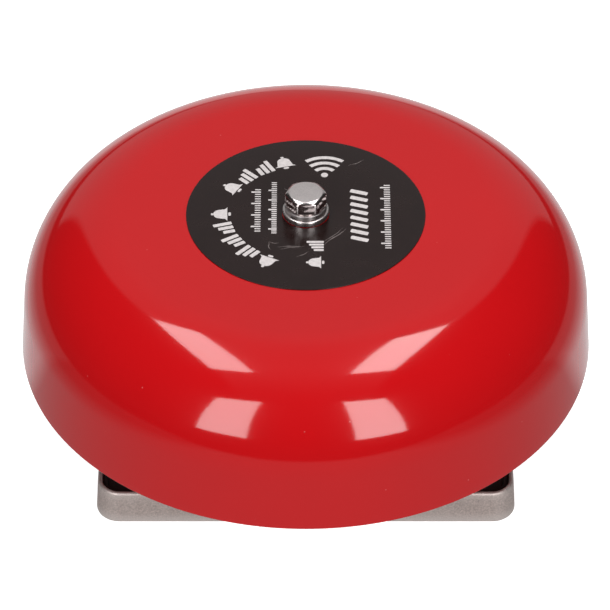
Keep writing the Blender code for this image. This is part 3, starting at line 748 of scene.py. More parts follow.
def build_scratches(top):
    """A few light scuffs on the film, where a tool slipped near the screw."""
    marks = [
        ((-12.9, -4.6), (-6.4, -10.4), 0.34),
        ((-12.2, -4.4), (-6.1, -9.6), 0.22),
        ((-13.7, 7.2), (-13.5, 0.4), 0.30),
        ((-14.5, 6.6), (-13.9, 1.8), 0.20),
        ((-17.9, 2.3), (-15.6, -0.9), 0.22),
        ((19.9, -11.2), (22.3, -15.3), 0.26),
        ((19.2, -4.0), (19.8, -6.2), 0.18),
        ((-11.9, 9.6), (-14.9, 9.2), 0.30),
        ((-11.9, 9.6), (-12.3, 6.9), 0.26),
        ((8.6, 3.9), (10.6, 5.6), 0.2),
    ]
    sheet = Print(top - 0.01 * MM, top + 0.008 * MM)
    for start, end, width in marks:
        start, end = Vector(start), Vector(end)
        along = end - start
        side = Vector((-along.y, along.x)).normalized()
        edge = []
        steps = 9
        for i in range(steps + 1):
            t = i / steps
            middle = start + along * t + side * 0.16 * math.sin(7 * t + start.x)
            taper = math.sin(math.pi * min(max(t, 0.06), 0.94))
            half = width / 2 * taper * (0.75 + 0.25 * math.sin(19 * t))
            edge.append((middle, half))
        for (a, wa), (b, wb) in zip(edge, edge[1:]):
            outline = [a + side * wa, a - side * wa, b - side * wb, b + side * wb]
            sheet.add([tuple(p) for p in outline])
    sheet.finish("label_scratches", SCRATCH)


def hex_radius(angle, flats, turn, softness):
    """Distance from the axis to a hexagon's side, with its corners eased."""
    local = (angle - turn) % (math.pi / 3) - math.pi / 6
    straight = flats / 2 / math.cos(local)
    corner = flats / math.sqrt(3) - softness
    blend = 0.25 * softness
    return -math.log(math.exp(-straight / blend) + math.exp(-corner / blend)) * blend


def hex_shape(flats, low, high, turn, top_radius, slope=30.0, softness=0.25 * MM, dome=0.0, sides=180):
    """A hexagon head: flat or slightly domed top, conical chamfer, and a small washer face below."""
    shape = bmesh.new()
    tangent = math.tan(math.radians(slope))
    centre = shape.verts.new((0, 0, high + dome))
    rings = []
    edge = 0.12 * MM

    def ring(radius_of, z_of):
        verts = []
        for i in range(sides):
            angle = 2 * math.pi * i / sides
            outer = hex_radius(angle, flats, turn, softness)
            verts.append(shape.verts.new(polar(radius_of(outer), angle, z_of(outer))))
        rings.append(verts)

    for i in range(1, 7):
        share = i / 6
        ring(lambda o: top_radius * share * 0.985, lambda o: high + dome * (1 - share**2))
    ring(lambda o: top_radius + 0.06 * MM, lambda o: high - 0.02 * MM)
    ring(lambda o: (top_radius + o - edge) / 2, lambda o: high - (o - edge - top_radius) / 2 * tangent)
    ring(lambda o: o - edge, lambda o: high - (o - edge - top_radius) * tangent)
    ring(lambda o: o - 0.3 * edge, lambda o: high - (o - top_radius) * tangent - 0.2 * edge)
    ring(lambda o: o, lambda o: high - (o - top_radius) * tangent - 1.1 * edge)
    ring(lambda o: o, lambda o: low + 0.35 * MM)
    ring(lambda o: o - 0.12 * MM, lambda o: low + 0.22 * MM)
    ring(lambda o: min(o, 0.47 * flats), lambda o: low + 0.18 * MM)
    ring(lambda o: 0.46 * flats, lambda o: low)
    for i in range(sides):
        shape.faces.new((centre, rings[0][i], rings[0][(i + 1) % sides]))
    bridge(shape, rings)
    shape.faces.new(rings[-1])
    return shape


def threaded_profile(radius, low, high, pitch):
    """Grooves in place of a helix, from high down to low."""
    points = []
    count = int((high - low) / pitch)
    for i in range(count):
        z = high - i * pitch
        points.append((radius, z - 0.12 * pitch))
        points.append((radius - 0.55 * pitch, z - 0.5 * pitch))
        points.append((radius, z - 0.88 * pitch))
    return points


def build_bolt():
    low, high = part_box("gong_bolt")
    seat = high[2] - BOLT_HEAD_HEIGHT
    shape = hex_shape(BOLT_FLATS, seat, high[2], BOLT_TURN, BOLT_TOP_RADIUS, dome=0.08 * MM)
    head = finish_mesh("gong_screw", shape, sharp_degrees=28)
    shank = [(0.0, seat + MM), (2.9 * MM, seat + MM), (2.9 * MM, seat - 5 * MM)]
    shank += threaded_profile(2.98 * MM, low[2] + MM, seat - 5 * MM, MM)
    shank += [(2.3 * MM, low[2]), (0.0, low[2])]
    boolean(head, [turned_shape(shank, 48, closed=False)], "UNION", sharp_degrees=28)
    dress(head, BOLT_PLATING, replaces=["gong_bolt"])


def build_washers():
    low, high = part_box("flat_washer")
    profile = ring_profile(high[0], GONG_HOLE_RADIUS, low[2] - 0.15 * MM, high[2], 0.35 * MM)
    flat = turned("crown_washer", profile, sides=128)
    dress(flat, WASHER_PLATING, replaces=["flat_washer"])
    low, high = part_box("lock_washer")
    shape = bmesh.new()
    steps = 150
    start, span = math.radians(12), math.radians(350)
    section = [
        (high[0], low[2] + 0.12 * MM), (high[0] - 0.15 * MM, low[2]), (3.25 * MM, low[2] + 0.05 * MM),
        (3.15 * MM, high[2] - 0.1 * MM), (3.3 * MM, high[2]), (high[0] - 0.25 * MM, high[2] - 0.05 * MM),
        (high[0] - 0.05 * MM, high[2] - 0.2 * MM),
    ]
    rings = []
    for i in range(steps + 1):
        angle = start + span * i / steps
        lift = 0.07 * MM * (i / steps - 0.5)
        rings.append([shape.verts.new(polar(r, angle, z + lift)) for r, z in section])
    bridge_and_cap(shape, rings)
    lock = finish_mesh("spring_washer", shape, sharp_degrees=30)
    dress(lock, WASHER_PLATING, replaces=["lock_washer"])


# ---------------------------------------------------------------- base


def rounded_square(half, corner, steps=14):
    """Points anticlockwise round a square with round corners."""
    points = []
    for quarter in range(4):
        for step in range(steps + 1):
            angle = math.pi / 2 * step / steps
            x = half - corner + corner * math.cos(angle)
            y = half - corner + corner * math.sin(angle)
            turn = Matrix.Rotation(quarter * math.pi / 2, 2)
            points.append(turn @ Vector((x, y)))
    return points


def quarter(steps):
    """(sine, cosine) of evenly spaced angles over a quarter turn."""
    angles = [math.pi / 2 * i / steps for i in range(steps + 1)]
    return [(math.sin(a), math.cos(a)) for a in angles]


def tray_loops():
    """(half width, z, corner radius) of each loop, from the back up the outside and down the inside."""
    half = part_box("base_tray")[1][0]
    top = TRAY_HEIGHT
    foot, lip = 1.2 * MM, 0.7 * MM
    slope = TRAY_DRAFT / top
    loops = []

    def add(reach, z, inset, corner=TRAY_CORNER):
        loops.append((reach - inset, z, corner - inset))

    for sin, cos in quarter(6):
        add(half, foot * (1 - cos), foot * (1 - sin))
    for i in range(1, 6):
        z = foot + (top - lip - foot) * i / 5
        loops.append((half - slope * (z - foot), z, TRAY_CORNER))
    outer = half - slope * (top - foot)
    for sin, cos in quarter(5)[1:]:
        add(outer, top - lip + lip * sin, lip * (1 - cos))
    inner, inner_corner = outer - TRAY_LIP, TRAY_CORNER - TRAY_LIP
    edge = 0.3 * MM
    for sin, cos in quarter(3):
        add(inner + edge, top - edge * (1 - cos), edge * sin, inner_corner + edge)
    loops.append((inner, TRAY_LEDGE_Z, inner_corner))
    inner, inner_corner = outer - TRAY_WALL, TRAY_CORNER - TRAY_WALL
    loops.append((inner, TRAY_LEDGE_Z, inner_corner))
    for sin, cos in quarter(5):
        add(inner, TRAY_FLOOR + MM * (1 - sin), MM * (1 - cos), inner_corner)
    return loops


def build_tray():
    shape = bmesh.new()
    rings = []
    for half, z, corner in tray_loops():
        outline = rounded_square(half, max(corner, 0.3 * MM))
        rings.append([shape.verts.new((p.x, p.y, z)) for p in outline])
    bridge_and_cap(shape, rings)
    tray = finish_mesh("cast_base", shape, sharp_degrees=40)
    bosses, holes = [], []
    for _, x, y, radius, top, hole, deep in tray_bosses():
        bosses.append(boss_shape(x, y, radius, top))
        holes.append(cylinder_shape(hole, -MM if deep else TRAY_FLOOR + 0.3 * MM, top + MM, x, y))
    boolean(tray, bosses, "UNION", sharp_degrees=40)
    grommet = centre_of("cable_grommet")
    holes.append(cylinder_shape(5.2 * MM, -MM, 3.6 * MM))
    holes.append(cylinder_shape(6.0 * MM, -MM, 5 * MM, grommet.x, grommet.y, 48))
    boolean(tray, holes, "DIFFERENCE", sharp_degrees=40)
    dress(tray, CASTING, replaces=["base_tray"])


def tray_bosses():
    """(name, x, y, radius, top, hole radius, right through) of each boss."""
    bosses = []
    for sx in (1, -1):
        for sy in (1, -1):
            bosses.append(("mount", sx * 43 * MM, sy * 43 * MM, 5 * MM, 6 * MM, 2.6 * MM, True))
    for i in range(1, 5):
        place = centre_of(f"cover_screw_{i}")
        bosses.append(("cover", place.x, place.y, 3.5 * MM, 6 * MM, 1.6 * MM, False))
    for i in (1, 2):
        place = centre_of(f"yoke_screw_{i}")
        bosses.append(("yoke", place.x, place.y, 4 * MM, 13.1 * MM, 1.8 * MM, False))
    earth = centre_of("earth_screw")
    bosses.append(("earth", earth.x, earth.y, 4 * MM, 11 * MM, 1.8 * MM, False))
    bosses.append(("centre", 0.0, 0.0, 9 * MM, 13 * MM, 2.8 * MM, True))
    return bosses


def boss_shape(x, y, radius, top):
    """A boss with a soft top edge and a fillet where it meets the floor."""
    foot = TRAY_FLOOR - 0.6 * MM
    profile = [(0.0, top)]
    profile += arc(radius - 0.5 * MM, top - 0.5 * MM, 0.5 * MM, 90, 0, 4)
    profile += [(radius, TRAY_FLOOR + 0.5 * MM), (radius + 0.15 * MM, TRAY_FLOOR + 0.15 * MM)]
    profile += [(radius + 0.4 * MM, TRAY_FLOOR - 0.02 * MM), (radius + 0.4 * MM, foot), (0.0, foot)]
    shape = turned_shape(profile, 40, closed=False)
    bmesh.ops.translate(shape, verts=shape.verts, vec=(x, y, 0.0))
    bmesh.ops.recalc_face_normals(shape, faces=shape.faces)
    return shape


def build_cover():
    """The black moulded cover, with a raised rib along its edge and openings for the bosses."""
    low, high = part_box("inner_cover")
    half = high[0]
    corner = TRAY_CORNER - TRAY_LIP - 0.3 * MM
    loops = [
        (half - 0.2 * MM, low[2]), (half, low[2] + 0.2 * MM), (half, high[2] + 0.5 * MM),
        (half - 0.25 * MM, high[2] + 0.75 * MM), (half - 1.0 * MM, high[2] + 0.75 * MM),
        (half - 1.25 * MM, high[2] + 0.5 * MM), (half - 1.3 * MM, high[2] + 0.1 * MM),
        (half - 1.5 * MM, high[2]),
    ]
    shape = bmesh.new()
    rings = []
    for reach, z in loops:
        outline = rounded_square(reach, max(corner - (half - reach), 0.8 * MM), 10)
        rings.append([shape.verts.new((p.x, p.y, z)) for p in outline])
    bridge_and_cap(shape, rings)
    cover = finish_mesh("black_cover", shape, sharp_degrees=40)
    bottom, top = low[2] - MM, high[2] + 3 * MM
    grommet = centre_of("cable_grommet")
    openings = [(0.0, 0.0, 9.3 * MM), (grommet.x, grommet.y, 8.5 * MM)]
    for name, x, y, radius, _, _, _ in tray_bosses():
        if name == "mount":
            openings.append((x, y, 4.8 * MM))
        elif name == "cover":
            openings.append((x, y, 1.8 * MM))
        elif name != "centre":
            openings.append((x, y, radius + 0.5 * MM))
    for i in (1, 2):
        place = centre_of(f"block_screw_{i}")
        openings.append((place.x, place.y, 1.8 * MM))
    cuts = [cylinder_shape(r, bottom, top, x, y, 40) for x, y, r in openings]
    boolean(cover, cuts, "DIFFERENCE", sharp_degrees=40)
    dress(cover, BLACK_COVER, replaces=["inner_cover"])


# ---------------------------------------------------------------- screws


def pan_head(name, node, head_radius, head_height, shank_radius, material=ZINC):
    """A pan-head screw with a cross recess, a rounded head and a threaded shank."""
    low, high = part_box(node)
    place = centre_of(node)
    top, seat = high[2], high[2] - head_height
    profile = [(0.0, top), (0.35 * head_radius, top - 0.01 * head_height)]
    round_edge = 0.55 * head_height
    profile += arc(head_radius - round_edge, top - 0.6 * head_height, round_edge, 75, 0, 6)
    profile += [(head_radius, seat + 0.08 * head_height), (0.95 * head_radius, seat)]
    profile += [(shank_radius, seat)]
    profile += threaded_profile(shank_radius, low[2] + 0.5 * MM, seat - 0.3 * MM, 0.5 * MM)
    profile += [(0.6 * shank_radius, low[2]), (0.0, low[2])]
    screw = turned(name, profile, sides=40, closed=False, place=(place.x, place.y, 0.0))
    reach = 0.62 * head_radius
    width = 0.11 * head_radius
    deep = top - 0.5 * head_height
    cuts = []
    for half_x, half_y in ((reach, width), (width, reach)):
        start = (place.x - half_x, place.y - half_y, deep)
        cuts.append(block_shape(start, (place.x + half_x, place.y + half_y, top + MM), 0.0))
    boolean(screw, cuts, "DIFFERENCE", sharp_degrees=30)
    dress(screw, material, replaces=[node])


def build_screws():
    for i in range(1, 5):
        pan_head(f"cover_fixing_{i}", f"cover_screw_{i}", 3.0 * MM, 1.5 * MM, 1.3 * MM)
    for i in (1, 2):
        pan_head(f"yoke_fixing_{i}", f"yoke_screw_{i}", 3.4 * MM, 2.2 * MM, 1.5 * MM)
        pan_head(f"block_fixing_{i}", f"block_screw_{i}", 1.9 * MM, 1.4 * MM, 1.3 * MM)
    pan_head("earth_fixing", "earth_screw", 3.2 * MM, 2.0 * MM, 1.5 * MM, BRASS)


# ---------------------------------------------------------------- solenoid


def build_coil():
    """The taped winding, with each lap of tape standing a little proud of the last."""
    low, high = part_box("coil_tape")
    outer = high[0]
    inner = outer - 0.5 * MM
    laps = 5
    lap = (high[1] - low[1]) / laps
    profile = [(inner, low[1])]
    for i in range(laps):
        start = low[1] + i * lap
        profile += [
            (outer - 0.16 * MM, start + 0.02 * MM), (outer - 0.13 * MM, start + 0.15 * lap),
            (outer - 0.05 * MM, start + 0.6 * lap), (outer, start + 0.93 * lap),
            (outer - 0.03 * MM, start + 0.985 * lap),
        ]
    profile.append((inner, high[1]))
    tape = turned_on_slide("coil_wrap", profile, sides=96)
    dress(tape, TAPE, replaces=["coil_tape"])


def build_spring():
    """Round wire spring with a closed turn at each end."""
    low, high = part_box("return_spring")
    wire = 0.4 * MM
    radius = high[0] - wire
    turns, dead = 5.0, 0.9
    start, end = low[1] + wire, high[1] - wire
    points = []
    steps = 40 * int(turns + 2 * dead)
    total = turns + 2 * dead
    for i in range(steps + 1):
        turn = total * i / steps
        rise = min(max((turn - dead) / turns, 0.0), 1.0)
        end_turn = max(turn - total + dead, 0.0)
        end_rise = 0.75 * wire * (min(turn / dead, 1.0) + min(end_turn / dead, 1.0))
        y = start + (end - start - 1.5 * wire) * rise + end_rise
        angle = 2 * math.pi * turn
        points.append((radius * math.cos(angle), y, STRIKER_Z + radius * math.sin(angle)))
    spring = sweep("striker_spring", points, wire, 12)
    dress(spring, SPRING_STEEL, replaces=["return_spring"])
    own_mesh(spring)


def build_striker():
    """Hammer head, rod and plunger, turned with their own edges and grooves."""
    low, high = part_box("striker_head")
    radius = high[0]
    bore = 2.3 * MM
    tip = [(0.0, high[1])] + arc(0.0, high[1] - 8 * MM, 8 * MM, 88, 60, 8)
    profile = tip + [(radius - 0.25 * MM, high[1] - 1.6 * MM), (radius, high[1] - 2.1 * MM)]
    for groove in (2.9 * MM, 3.6 * MM):
        y = high[1] - groove
        profile += [(radius, y + 0.2 * MM), (radius - 0.25 * MM, y), (radius, y - 0.2 * MM)]
    profile += [(radius, low[1] + 0.5 * MM), (radius - 0.5 * MM, low[1]), (bore, low[1])]
    profile += [(bore, low[1] + 3.3 * MM), (0.0, low[1] + 3.3 * MM)]
    head = turned_on_slide("hammer_head", profile, closed=False)
    dress(head, BRASS, body="striker", replaces=["striker_head"])
    low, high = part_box("striker_rod")
    radius = high[0]
    edge = 0.3 * MM
    profile = [(0.0, high[1]), (radius - edge, high[1]), (radius, high[1] - edge)]
    profile += [(radius, low[1] + edge), (radius - edge, low[1]), (0.0, low[1])]
    rod = turned_on_slide("hammer_rod", profile, sides=48, closed=False)
    dress(rod, SPRING_STEEL, body="striker", replaces=["striker_rod"])
    low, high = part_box("plunger")
    radius = high[0]
    profile = [(bore, high[1]), (radius - edge, high[1]), (radius, high[1] - edge)]
    profile += [(radius, low[1] + 3.2 * MM), (radius - edge, low[1] + 3.0 * MM)]
    profile += [(radius - edge, low[1] + 2.4 * MM), (radius, low[1] + 2.2 * MM)]
    profile += [(radius, low[1] + edge), (radius - edge, low[1]), (0.0, low[1])]
    profile += [(0.0, high[1] - 8 * MM), (bore, high[1] - 8 * MM)]
    plunger = turned_on_slide("iron_plunger", profile)
    dress(plunger, YOKE_IRON, body="striker", replaces=["plunger"])


def build_yoke():
    """The bent iron frame with round bends, and the keeper plate staked over its cheeks."""
    low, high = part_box("yoke_frame")
    keeper_low, keeper_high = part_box("yoke_keeper")
    thick = 1.6 * MM
    half = keeper_high[0]
    bend = 2.2 * MM
    outline = [(low[1], keeper_low[2] - 0.3 * MM)]
    for sin, cos in quarter(8):
        outline.append((low[1] + bend - bend * cos, low[2] + bend - bend * sin))
    for sin, cos in quarter(8):
        outline.append((high[1] - bend + bend * sin, low[2] + bend - bend * cos))
    outline += [(high[1], keeper_low[2] - 0.3 * MM)]
    shape = bmesh.new()
    count = len(outline)
    rings = []
    for x in (-half, half):
        outer = [shape.verts.new((x, y, z)) for y, z in outline]
        inner = []
        for i, (y, z) in enumerate(outline):
            before, after = outline[max(i - 1, 0)], outline[min(i + 1, count - 1)]
            along = Vector((after[0] - before[0], after[1] - before[1])).normalized()
            inner.append(shape.verts.new((x, y - along.y * thick, z + along.x * thick)))
        rings.append((outer, inner))
    (outer_a, inner_a), (outer_b, inner_b) = rings
    for i in range(count - 1):
        shape.faces.new((outer_a[i], outer_a[i + 1], outer_b[i + 1], outer_b[i]))
        shape.faces.new((inner_a[i + 1], inner_a[i], inner_b[i], inner_b[i + 1]))
        shape.faces.new((outer_a[i + 1], outer_a[i], inner_a[i], inner_a[i + 1]))
        shape.faces.new((outer_b[i], outer_b[i + 1], inner_b[i + 1], inner_b[i]))
    for i in (0, count - 1):
        shape.faces.new((outer_a[i], outer_b[i], inner_b[i], inner_a[i]))
    bmesh.ops.bevel(
        shape, geom=[e for e in shape.edges if e.calc_face_angle(0) > 1.2], offset=0.2 * MM, segments=2,
        profile=0.5, affect="EDGES",
    )
    frame_piece = finish_mesh("solenoid_frame", shape, sharp_degrees=40)
    ear_y = centre_of("yoke_screw_1").y
    ear_low = (low[0], ear_y - 5 * MM, low[2] + 0.05 * MM)
    ear_high = (high[0], ear_y + 5 * MM, low[2] + 1.55 * MM)
    extras = [block_shape(ear_low, ear_high, 0.3 * MM)]
    for y in (low[1] + 0.25 * MM, high[1] - thick + 0.25 * MM):
        tab_low = (-3 * MM, y, keeper_low[2] - 2 * MM)
        tab_high = (3 * MM, y + thick - 0.5 * MM, high[2])
        extras.append(block_shape(tab_low, tab_high, 0.25 * MM))
    boolean(frame_piece, extras, "UNION", sharp_degrees=40)
    holes = []
    for i in (1, 2):
        place = centre_of(f"yoke_screw_{i}")
        holes.append(cylinder_shape(2.0 * MM, low[2] - MM, low[2] + 4 * MM, place.x, place.y, 40))
    for radius, y in ((2.4 * MM, low[1]), (4.7 * MM, high[1])):
        hole = cylinder_shape(radius, y - 3 * MM, y + 3 * MM, sides=64)
        turn = Matrix.Translation((0, 0, STRIKER_Z)) @ Matrix.Rotation(-math.pi / 2, 4, "X")
        bmesh.ops.transform(hole, matrix=turn, verts=hole.verts)
        holes.append(hole)
    boolean(frame_piece, holes, "DIFFERENCE", sharp_degrees=40)
    dress(frame_piece, YOKE_IRON, replaces=["yoke_frame"])
    plate = block_shape(keeper_low, keeper_high, 0.35 * MM)
    keeper = finish_mesh("solenoid_keeper", plate, sharp_degrees=40)
    notches = []
    for y in (low[1] - MM, high[1] - thick - 0.1 * MM):
        notch_low = (-3.3 * MM, y, keeper_low[2] - MM)
        notch_high = (3.3 * MM, y + thick + 1.1 * MM, keeper_high[2] + MM)
        notches.append(block_shape(notch_low, notch_high, 0.0))
    boolean(keeper, notches, "DIFFERENCE", sharp_degrees=40)
    dress(keeper, YOKE_IRON, replaces=["yoke_keeper"])


# ---------------------------------------------------------------- electrical parts


def build_terminal_block():
    """Three moulded barrels on a web, as a strip connector has, each with its screw well."""
    low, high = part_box("terminal_block")
    shape = block_shape((low[0], low[1], low[2]), (high[0], high[1], low[2] + 8.6 * MM), 0.6 * MM)
    block = finish_mesh("terminal_strip", shape, sharp_degrees=40)
    barrels = []
    cuts = []
    for i in (1, 2, 3):
        clamp_low, clamp_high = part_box(f"terminal_clamp_{i}")
        middle = centre_of(f"terminal_clamp_{i}")
        barrel = [(0.0, high[2])] + arc(4.2 * MM, high[2] - 0.6 * MM, 0.6 * MM, 90, 0, 4)
        barrel += [(4.8 * MM, low[2] + 4 * MM), (0.0, low[2] + 4 * MM)]
        solid = turned_shape(barrel, 64, closed=False)
        bmesh.ops.translate(solid, verts=solid.verts, vec=(middle.x, middle.y, 0.0))
        bmesh.ops.recalc_face_normals(solid, faces=solid.faces)
        barrels.append(solid)
        margin = 0.3 * MM
        mouth = 8 * MM
        bore_low = (clamp_low[0] - margin, middle.y - mouth, clamp_low[2] - margin)
        bore_high = (clamp_high[0] + margin, middle.y + mouth, clamp_high[2] + margin)
        cuts.append(block_shape(bore_low, bore_high, 0.0))
        cuts.append(cylinder_shape(2.1 * MM, middle.z, high[2] + MM, middle.x, middle.y, 40))
    boolean(block, barrels, "UNION", sharp_degrees=40)
    for i in (1, 2):
        screw = centre_of(f"block_screw_{i}")
        cuts.append(cylinder_shape(1.7 * MM, low[2] - MM, high[2] + MM, screw.x, screw.y, 32))
        cuts.append(cylinder_shape(2.2 * MM, high[2] - 6 * MM, high[2] + MM, screw.x, screw.y, 32))
    boolean(block, cuts, "DIFFERENCE", sharp_degrees=40)
    dress(block, WHITE_NYLON, replaces=["terminal_block"])


def build_wiring():
    bore_z = centre_of("terminal_clamp_1").z / MM
    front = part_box("terminal_block")[1][1] / MM - 5.5
    routes = {
        "live_lead": ([(-10, front, bore_z), (-10, front + 10, bore_z + 0.5), (-13, -6, 22), (-14, 8, 34),
                       (-14.6, 16, 37), (-12.4, 20, 38), (-10.8, 24, 37.8)], BROWN_PVC, "brown_pvc"),
        "neutral_lead": ([(0, front, bore_z), (1.5, front + 10, bore_z + 0.5), (11.5, -6, 22), (14, 8, 34),
                          (14.6, 16, 37), (12.4, 20, 38), (10.8, 24, 37.8)], BLUE_PVC, "blue_pvc"),
        "earth_lead": ([(10, front, bore_z), (10, front + 8, bore_z), (14, -18, bore_z + 0.5),
                        (20, -18.5, 13.5), EARTH_LEAD_END], EARTH_PVC, "earth_pvc"),
    }
    for node, (stops, material, slot) in routes.items():
        wire = sweep(f"{node}_wire", smooth_route(stops, 90), 0.95 * MM, 20)
        dress(wire, material, replaces=[node])


def build_earth_tag():
    """A ring tag with a crimped barrel that holds the earth lead."""
    low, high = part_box("earth_tag")
    place = centre_of("earth_tag")
    profile = ring_profile(3.6 * MM, 1.9 * MM, low[2], high[2], 0.15 * MM)
    tag = turned("earth_ring", profile, place=(place.x, place.y, 0.0))
    end = Vector(EARTH_LEAD_END) * MM
    reach = (Vector((end.x, end.y)) - Vector((place.x, place.y))).length
    heading = math.atan2(end.y - place.y, end.x - place.x)
    tongue = block_shape((3.0 * MM, -1.3 * MM, low[2]), (reach - 1.2 * MM, 1.3 * MM, high[2]), 0.1 * MM)
    crimp = ring_profile(1.55 * MM, 0.9 * MM, reach - 2.2 * MM, reach + 1.6 * MM, 0.15 * MM)
    barrel = turned_shape(crimp, 40)
    lay = Matrix.Translation((0, 0, end.z)) @ Matrix.Rotation(math.pi / 2, 4, "Y")
    bmesh.ops.transform(barrel, matrix=lay, verts=barrel.verts)
    turn = Matrix.Translation((place.x, place.y, 0)) @ Matrix.Rotation(heading, 4, "Z")
    for shape in (tongue, barrel):
        bmesh.ops.transform(shape, matrix=turn, verts=shape.verts)
        bmesh.ops.recalc_face_normals(shape, faces=shape.faces)
    boolean(tag, [tongue, barrel], "UNION")
    dress(tag, ZINC, replaces=["earth_tag"])


def build_turned_details():
    """Bushes, a washer, the coil former and the pillar, each with its own edges."""
    low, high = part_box("cable_grommet")
    place = centre_of("cable_grommet")
    profile = rounded_loop(
        [(4.0 * MM, high[2]), (6.6 * MM, high[2]), (8.0 * MM, high[2] - 1.4 * MM),
         (8.0 * MM, low[2] + 2.3 * MM), (5.7 * MM, low[2] + 2.3 * MM), (5.7 * MM, low[2]),
         (4.0 * MM, low[2])], 0.6 * MM,
    )
    grommet = turned("cable_bush", profile, place=(place.x, place.y, 0.0))
    dress(grommet, RUBBER, replaces=["cable_grommet"])
    low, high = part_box("seat_washer")
    seat = turned("fibre_washer", ring_profile(high[0], 3.3 * MM, low[2], high[2], 0.2 * MM), sides=96)
    dress(seat, FIBRE, replaces=["seat_washer"])
    low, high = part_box("coil_bobbin")
    outer, core, bore, flange = high[0], 6.6 * MM, 5.6 * MM, 1.5 * MM
    profile = rounded_loop(
        [(bore, high[1]), (outer, high[1]), (outer, high[1] - flange), (core, high[1] - flange),
         (core, low[1] + flange), (outer, low[1] + flange), (outer, low[1]), (bore, low[1])], 0.35 * MM,
    )
    bobbin = turned_on_slide("coil_former", profile, sides=96)
    dress(bobbin, NYLON, replaces=["coil_bobbin"])
    low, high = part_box("front_bush")
    neck, bore = 4.4 * MM, 2.3 * MM
    flange_y = high[1] - 1.5 * MM
    profile = rounded_loop(
        [(bore, high[1]), (6.5 * MM, high[1]), (6.5 * MM, flange_y), (neck, flange_y), (neck, low[1]),
         (bore, low[1])], 0.3 * MM,
    )
    bush = turned_on_slide("rod_bush", profile)
    dress(bush, NYLON, replaces=["front_bush"])
    low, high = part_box("gong_post")
    post = finish_mesh("hex_pillar", pillar_shape(high[0] - low[0], low[2], high[2]), sharp_degrees=30)
    bores = [
        cylinder_shape(3.3 * MM, high[2] - 15 * MM, high[2] + MM),
        cylinder_shape(2.6 * MM, low[2] - MM, low[2] + 10 * MM),
    ]
    boolean(post, bores, "DIFFERENCE", sharp_degrees=30)
    dress(post, ZINC, replaces=["gong_post"])


def pillar_shape(flats, low, high, sides=144):
    """A hexagon bar with chamfered ends."""
    shape = bmesh.new()
    rings = []
    for radius_cap, z in (
        (0.46 * flats, low), (flats, low + 1.2 * MM), (flats, high - 1.2 * MM), (0.46 * flats, high),
    ):
        verts = []
        for i in range(sides):
            angle = 2 * math.pi * i / sides
            radius = min(hex_radius(angle, flats, 0.0, 0.2 * MM), radius_cap)
            verts.append(shape.verts.new(polar(radius, angle, z)))
        rings.append(verts)
    bridge_and_cap(shape, rings)
    return shape


def dress_cad_nodes():
    """CAD nodes whose shape stays, with better materials."""
    finishes = {
        "coil_winding": COPPER, "guide_tube": BRASS, "rear_buffer": RUBBER,
        "stop_screw": ZINC, "stop_nut": ZINC, "post_screw": ZINC,
    }
    for i in (1, 2, 3):
        finishes[f"terminal_clamp_{i}"] = BRASS
        finishes[f"terminal_screw_{i}"] = ZINC
    for node, material in finishes.items():
        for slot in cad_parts[node].material_slots:
            slot.material = material


# ---------------------------------------------------------------- studio

CAMERA_DISTANCE = 1.0
CAMERA_ELEVATION = math.radians(40)
AIM_Z = 28.1 * MM
LENS_MM = 224.0
OVERHEAD_HEIGHT = 0.80
OVERHEAD_WIDTH = 0.175
FRONT_DISTANCE = 0.70
FRONT_Z = 0.50
BACKDROP = 0.46
DARK_STUDIO = 0.025
# How bright the backdrop is, against the turn from the horizon behind (0) to the one in front (1).
BACKDROP_LEVELS = (
    (0.0, 1.0), (0.30, 1.0), (0.35, 0.76), (0.50, 0.80), (0.56, 0.66), (0.61, 0.45), (0.66, 0.24),
    (0.71, 0.12), (0.85, 0.07), (1.0, 0.0),
)
# The table as the gong mirrors it: brightness along Y, times brightness away from the middle along X.
FLOOR_DEPTHS = ((-0.27, 0.01), (-0.22, 0.40), (-0.008, 0.40), (0.003, 0.78))
FLOOR_WIDTHS = ((0.11, 1.0), (0.13, 0.75), (0.17, 0.38), (0.27, 0.33), (0.33, 0.03))
RAMP_SHIFT = 0.5
FLOOR_BOUNCE = 0.65
NEAR_GLOW = 0.84


def aim(obj, place, target):
    obj.location = place
    direction = Vector(target) - Vector(place)
    obj.rotation_euler = direction.to_track_quat("-Z", "Y").to_euler()


def build_camera():
    data = bpy.data.cameras.new("camera")
    data.lens = LENS_MM
    data.sensor_width = 36.0
    data.clip_start = 0.01
    data.clip_end = 200.0
    camera = bpy.data.objects.new("camera", data)
    bpy.context.scene.collection.objects.link(camera)
    back = Vector((0, -math.cos(CAMERA_ELEVATION), math.sin(CAMERA_ELEVATION)))
    target = Vector((-0.2 * MM, 0, AIM_Z))
    aim(camera, target + CAMERA_DISTANCE * back, target)
    bpy.context.scene.camera = camera


def softbox(name, place, target, width, height, radiance, roll=0.0):
    """A rectangular softbox. Radiance is that of its face; power is pi times radiance and area."""
    data = bpy.data.lights.new(name, "AREA")
    data.shape = "RECTANGLE"
    data.size = width
    data.size_y = height
    data.energy = math.pi * radiance * width * height
    light = bpy.data.objects.new(name, data)
    bpy.context.scene.collection.objects.link(light)
    aim(light, place, target)
    light.rotation_euler.rotate_axis("Z", roll)


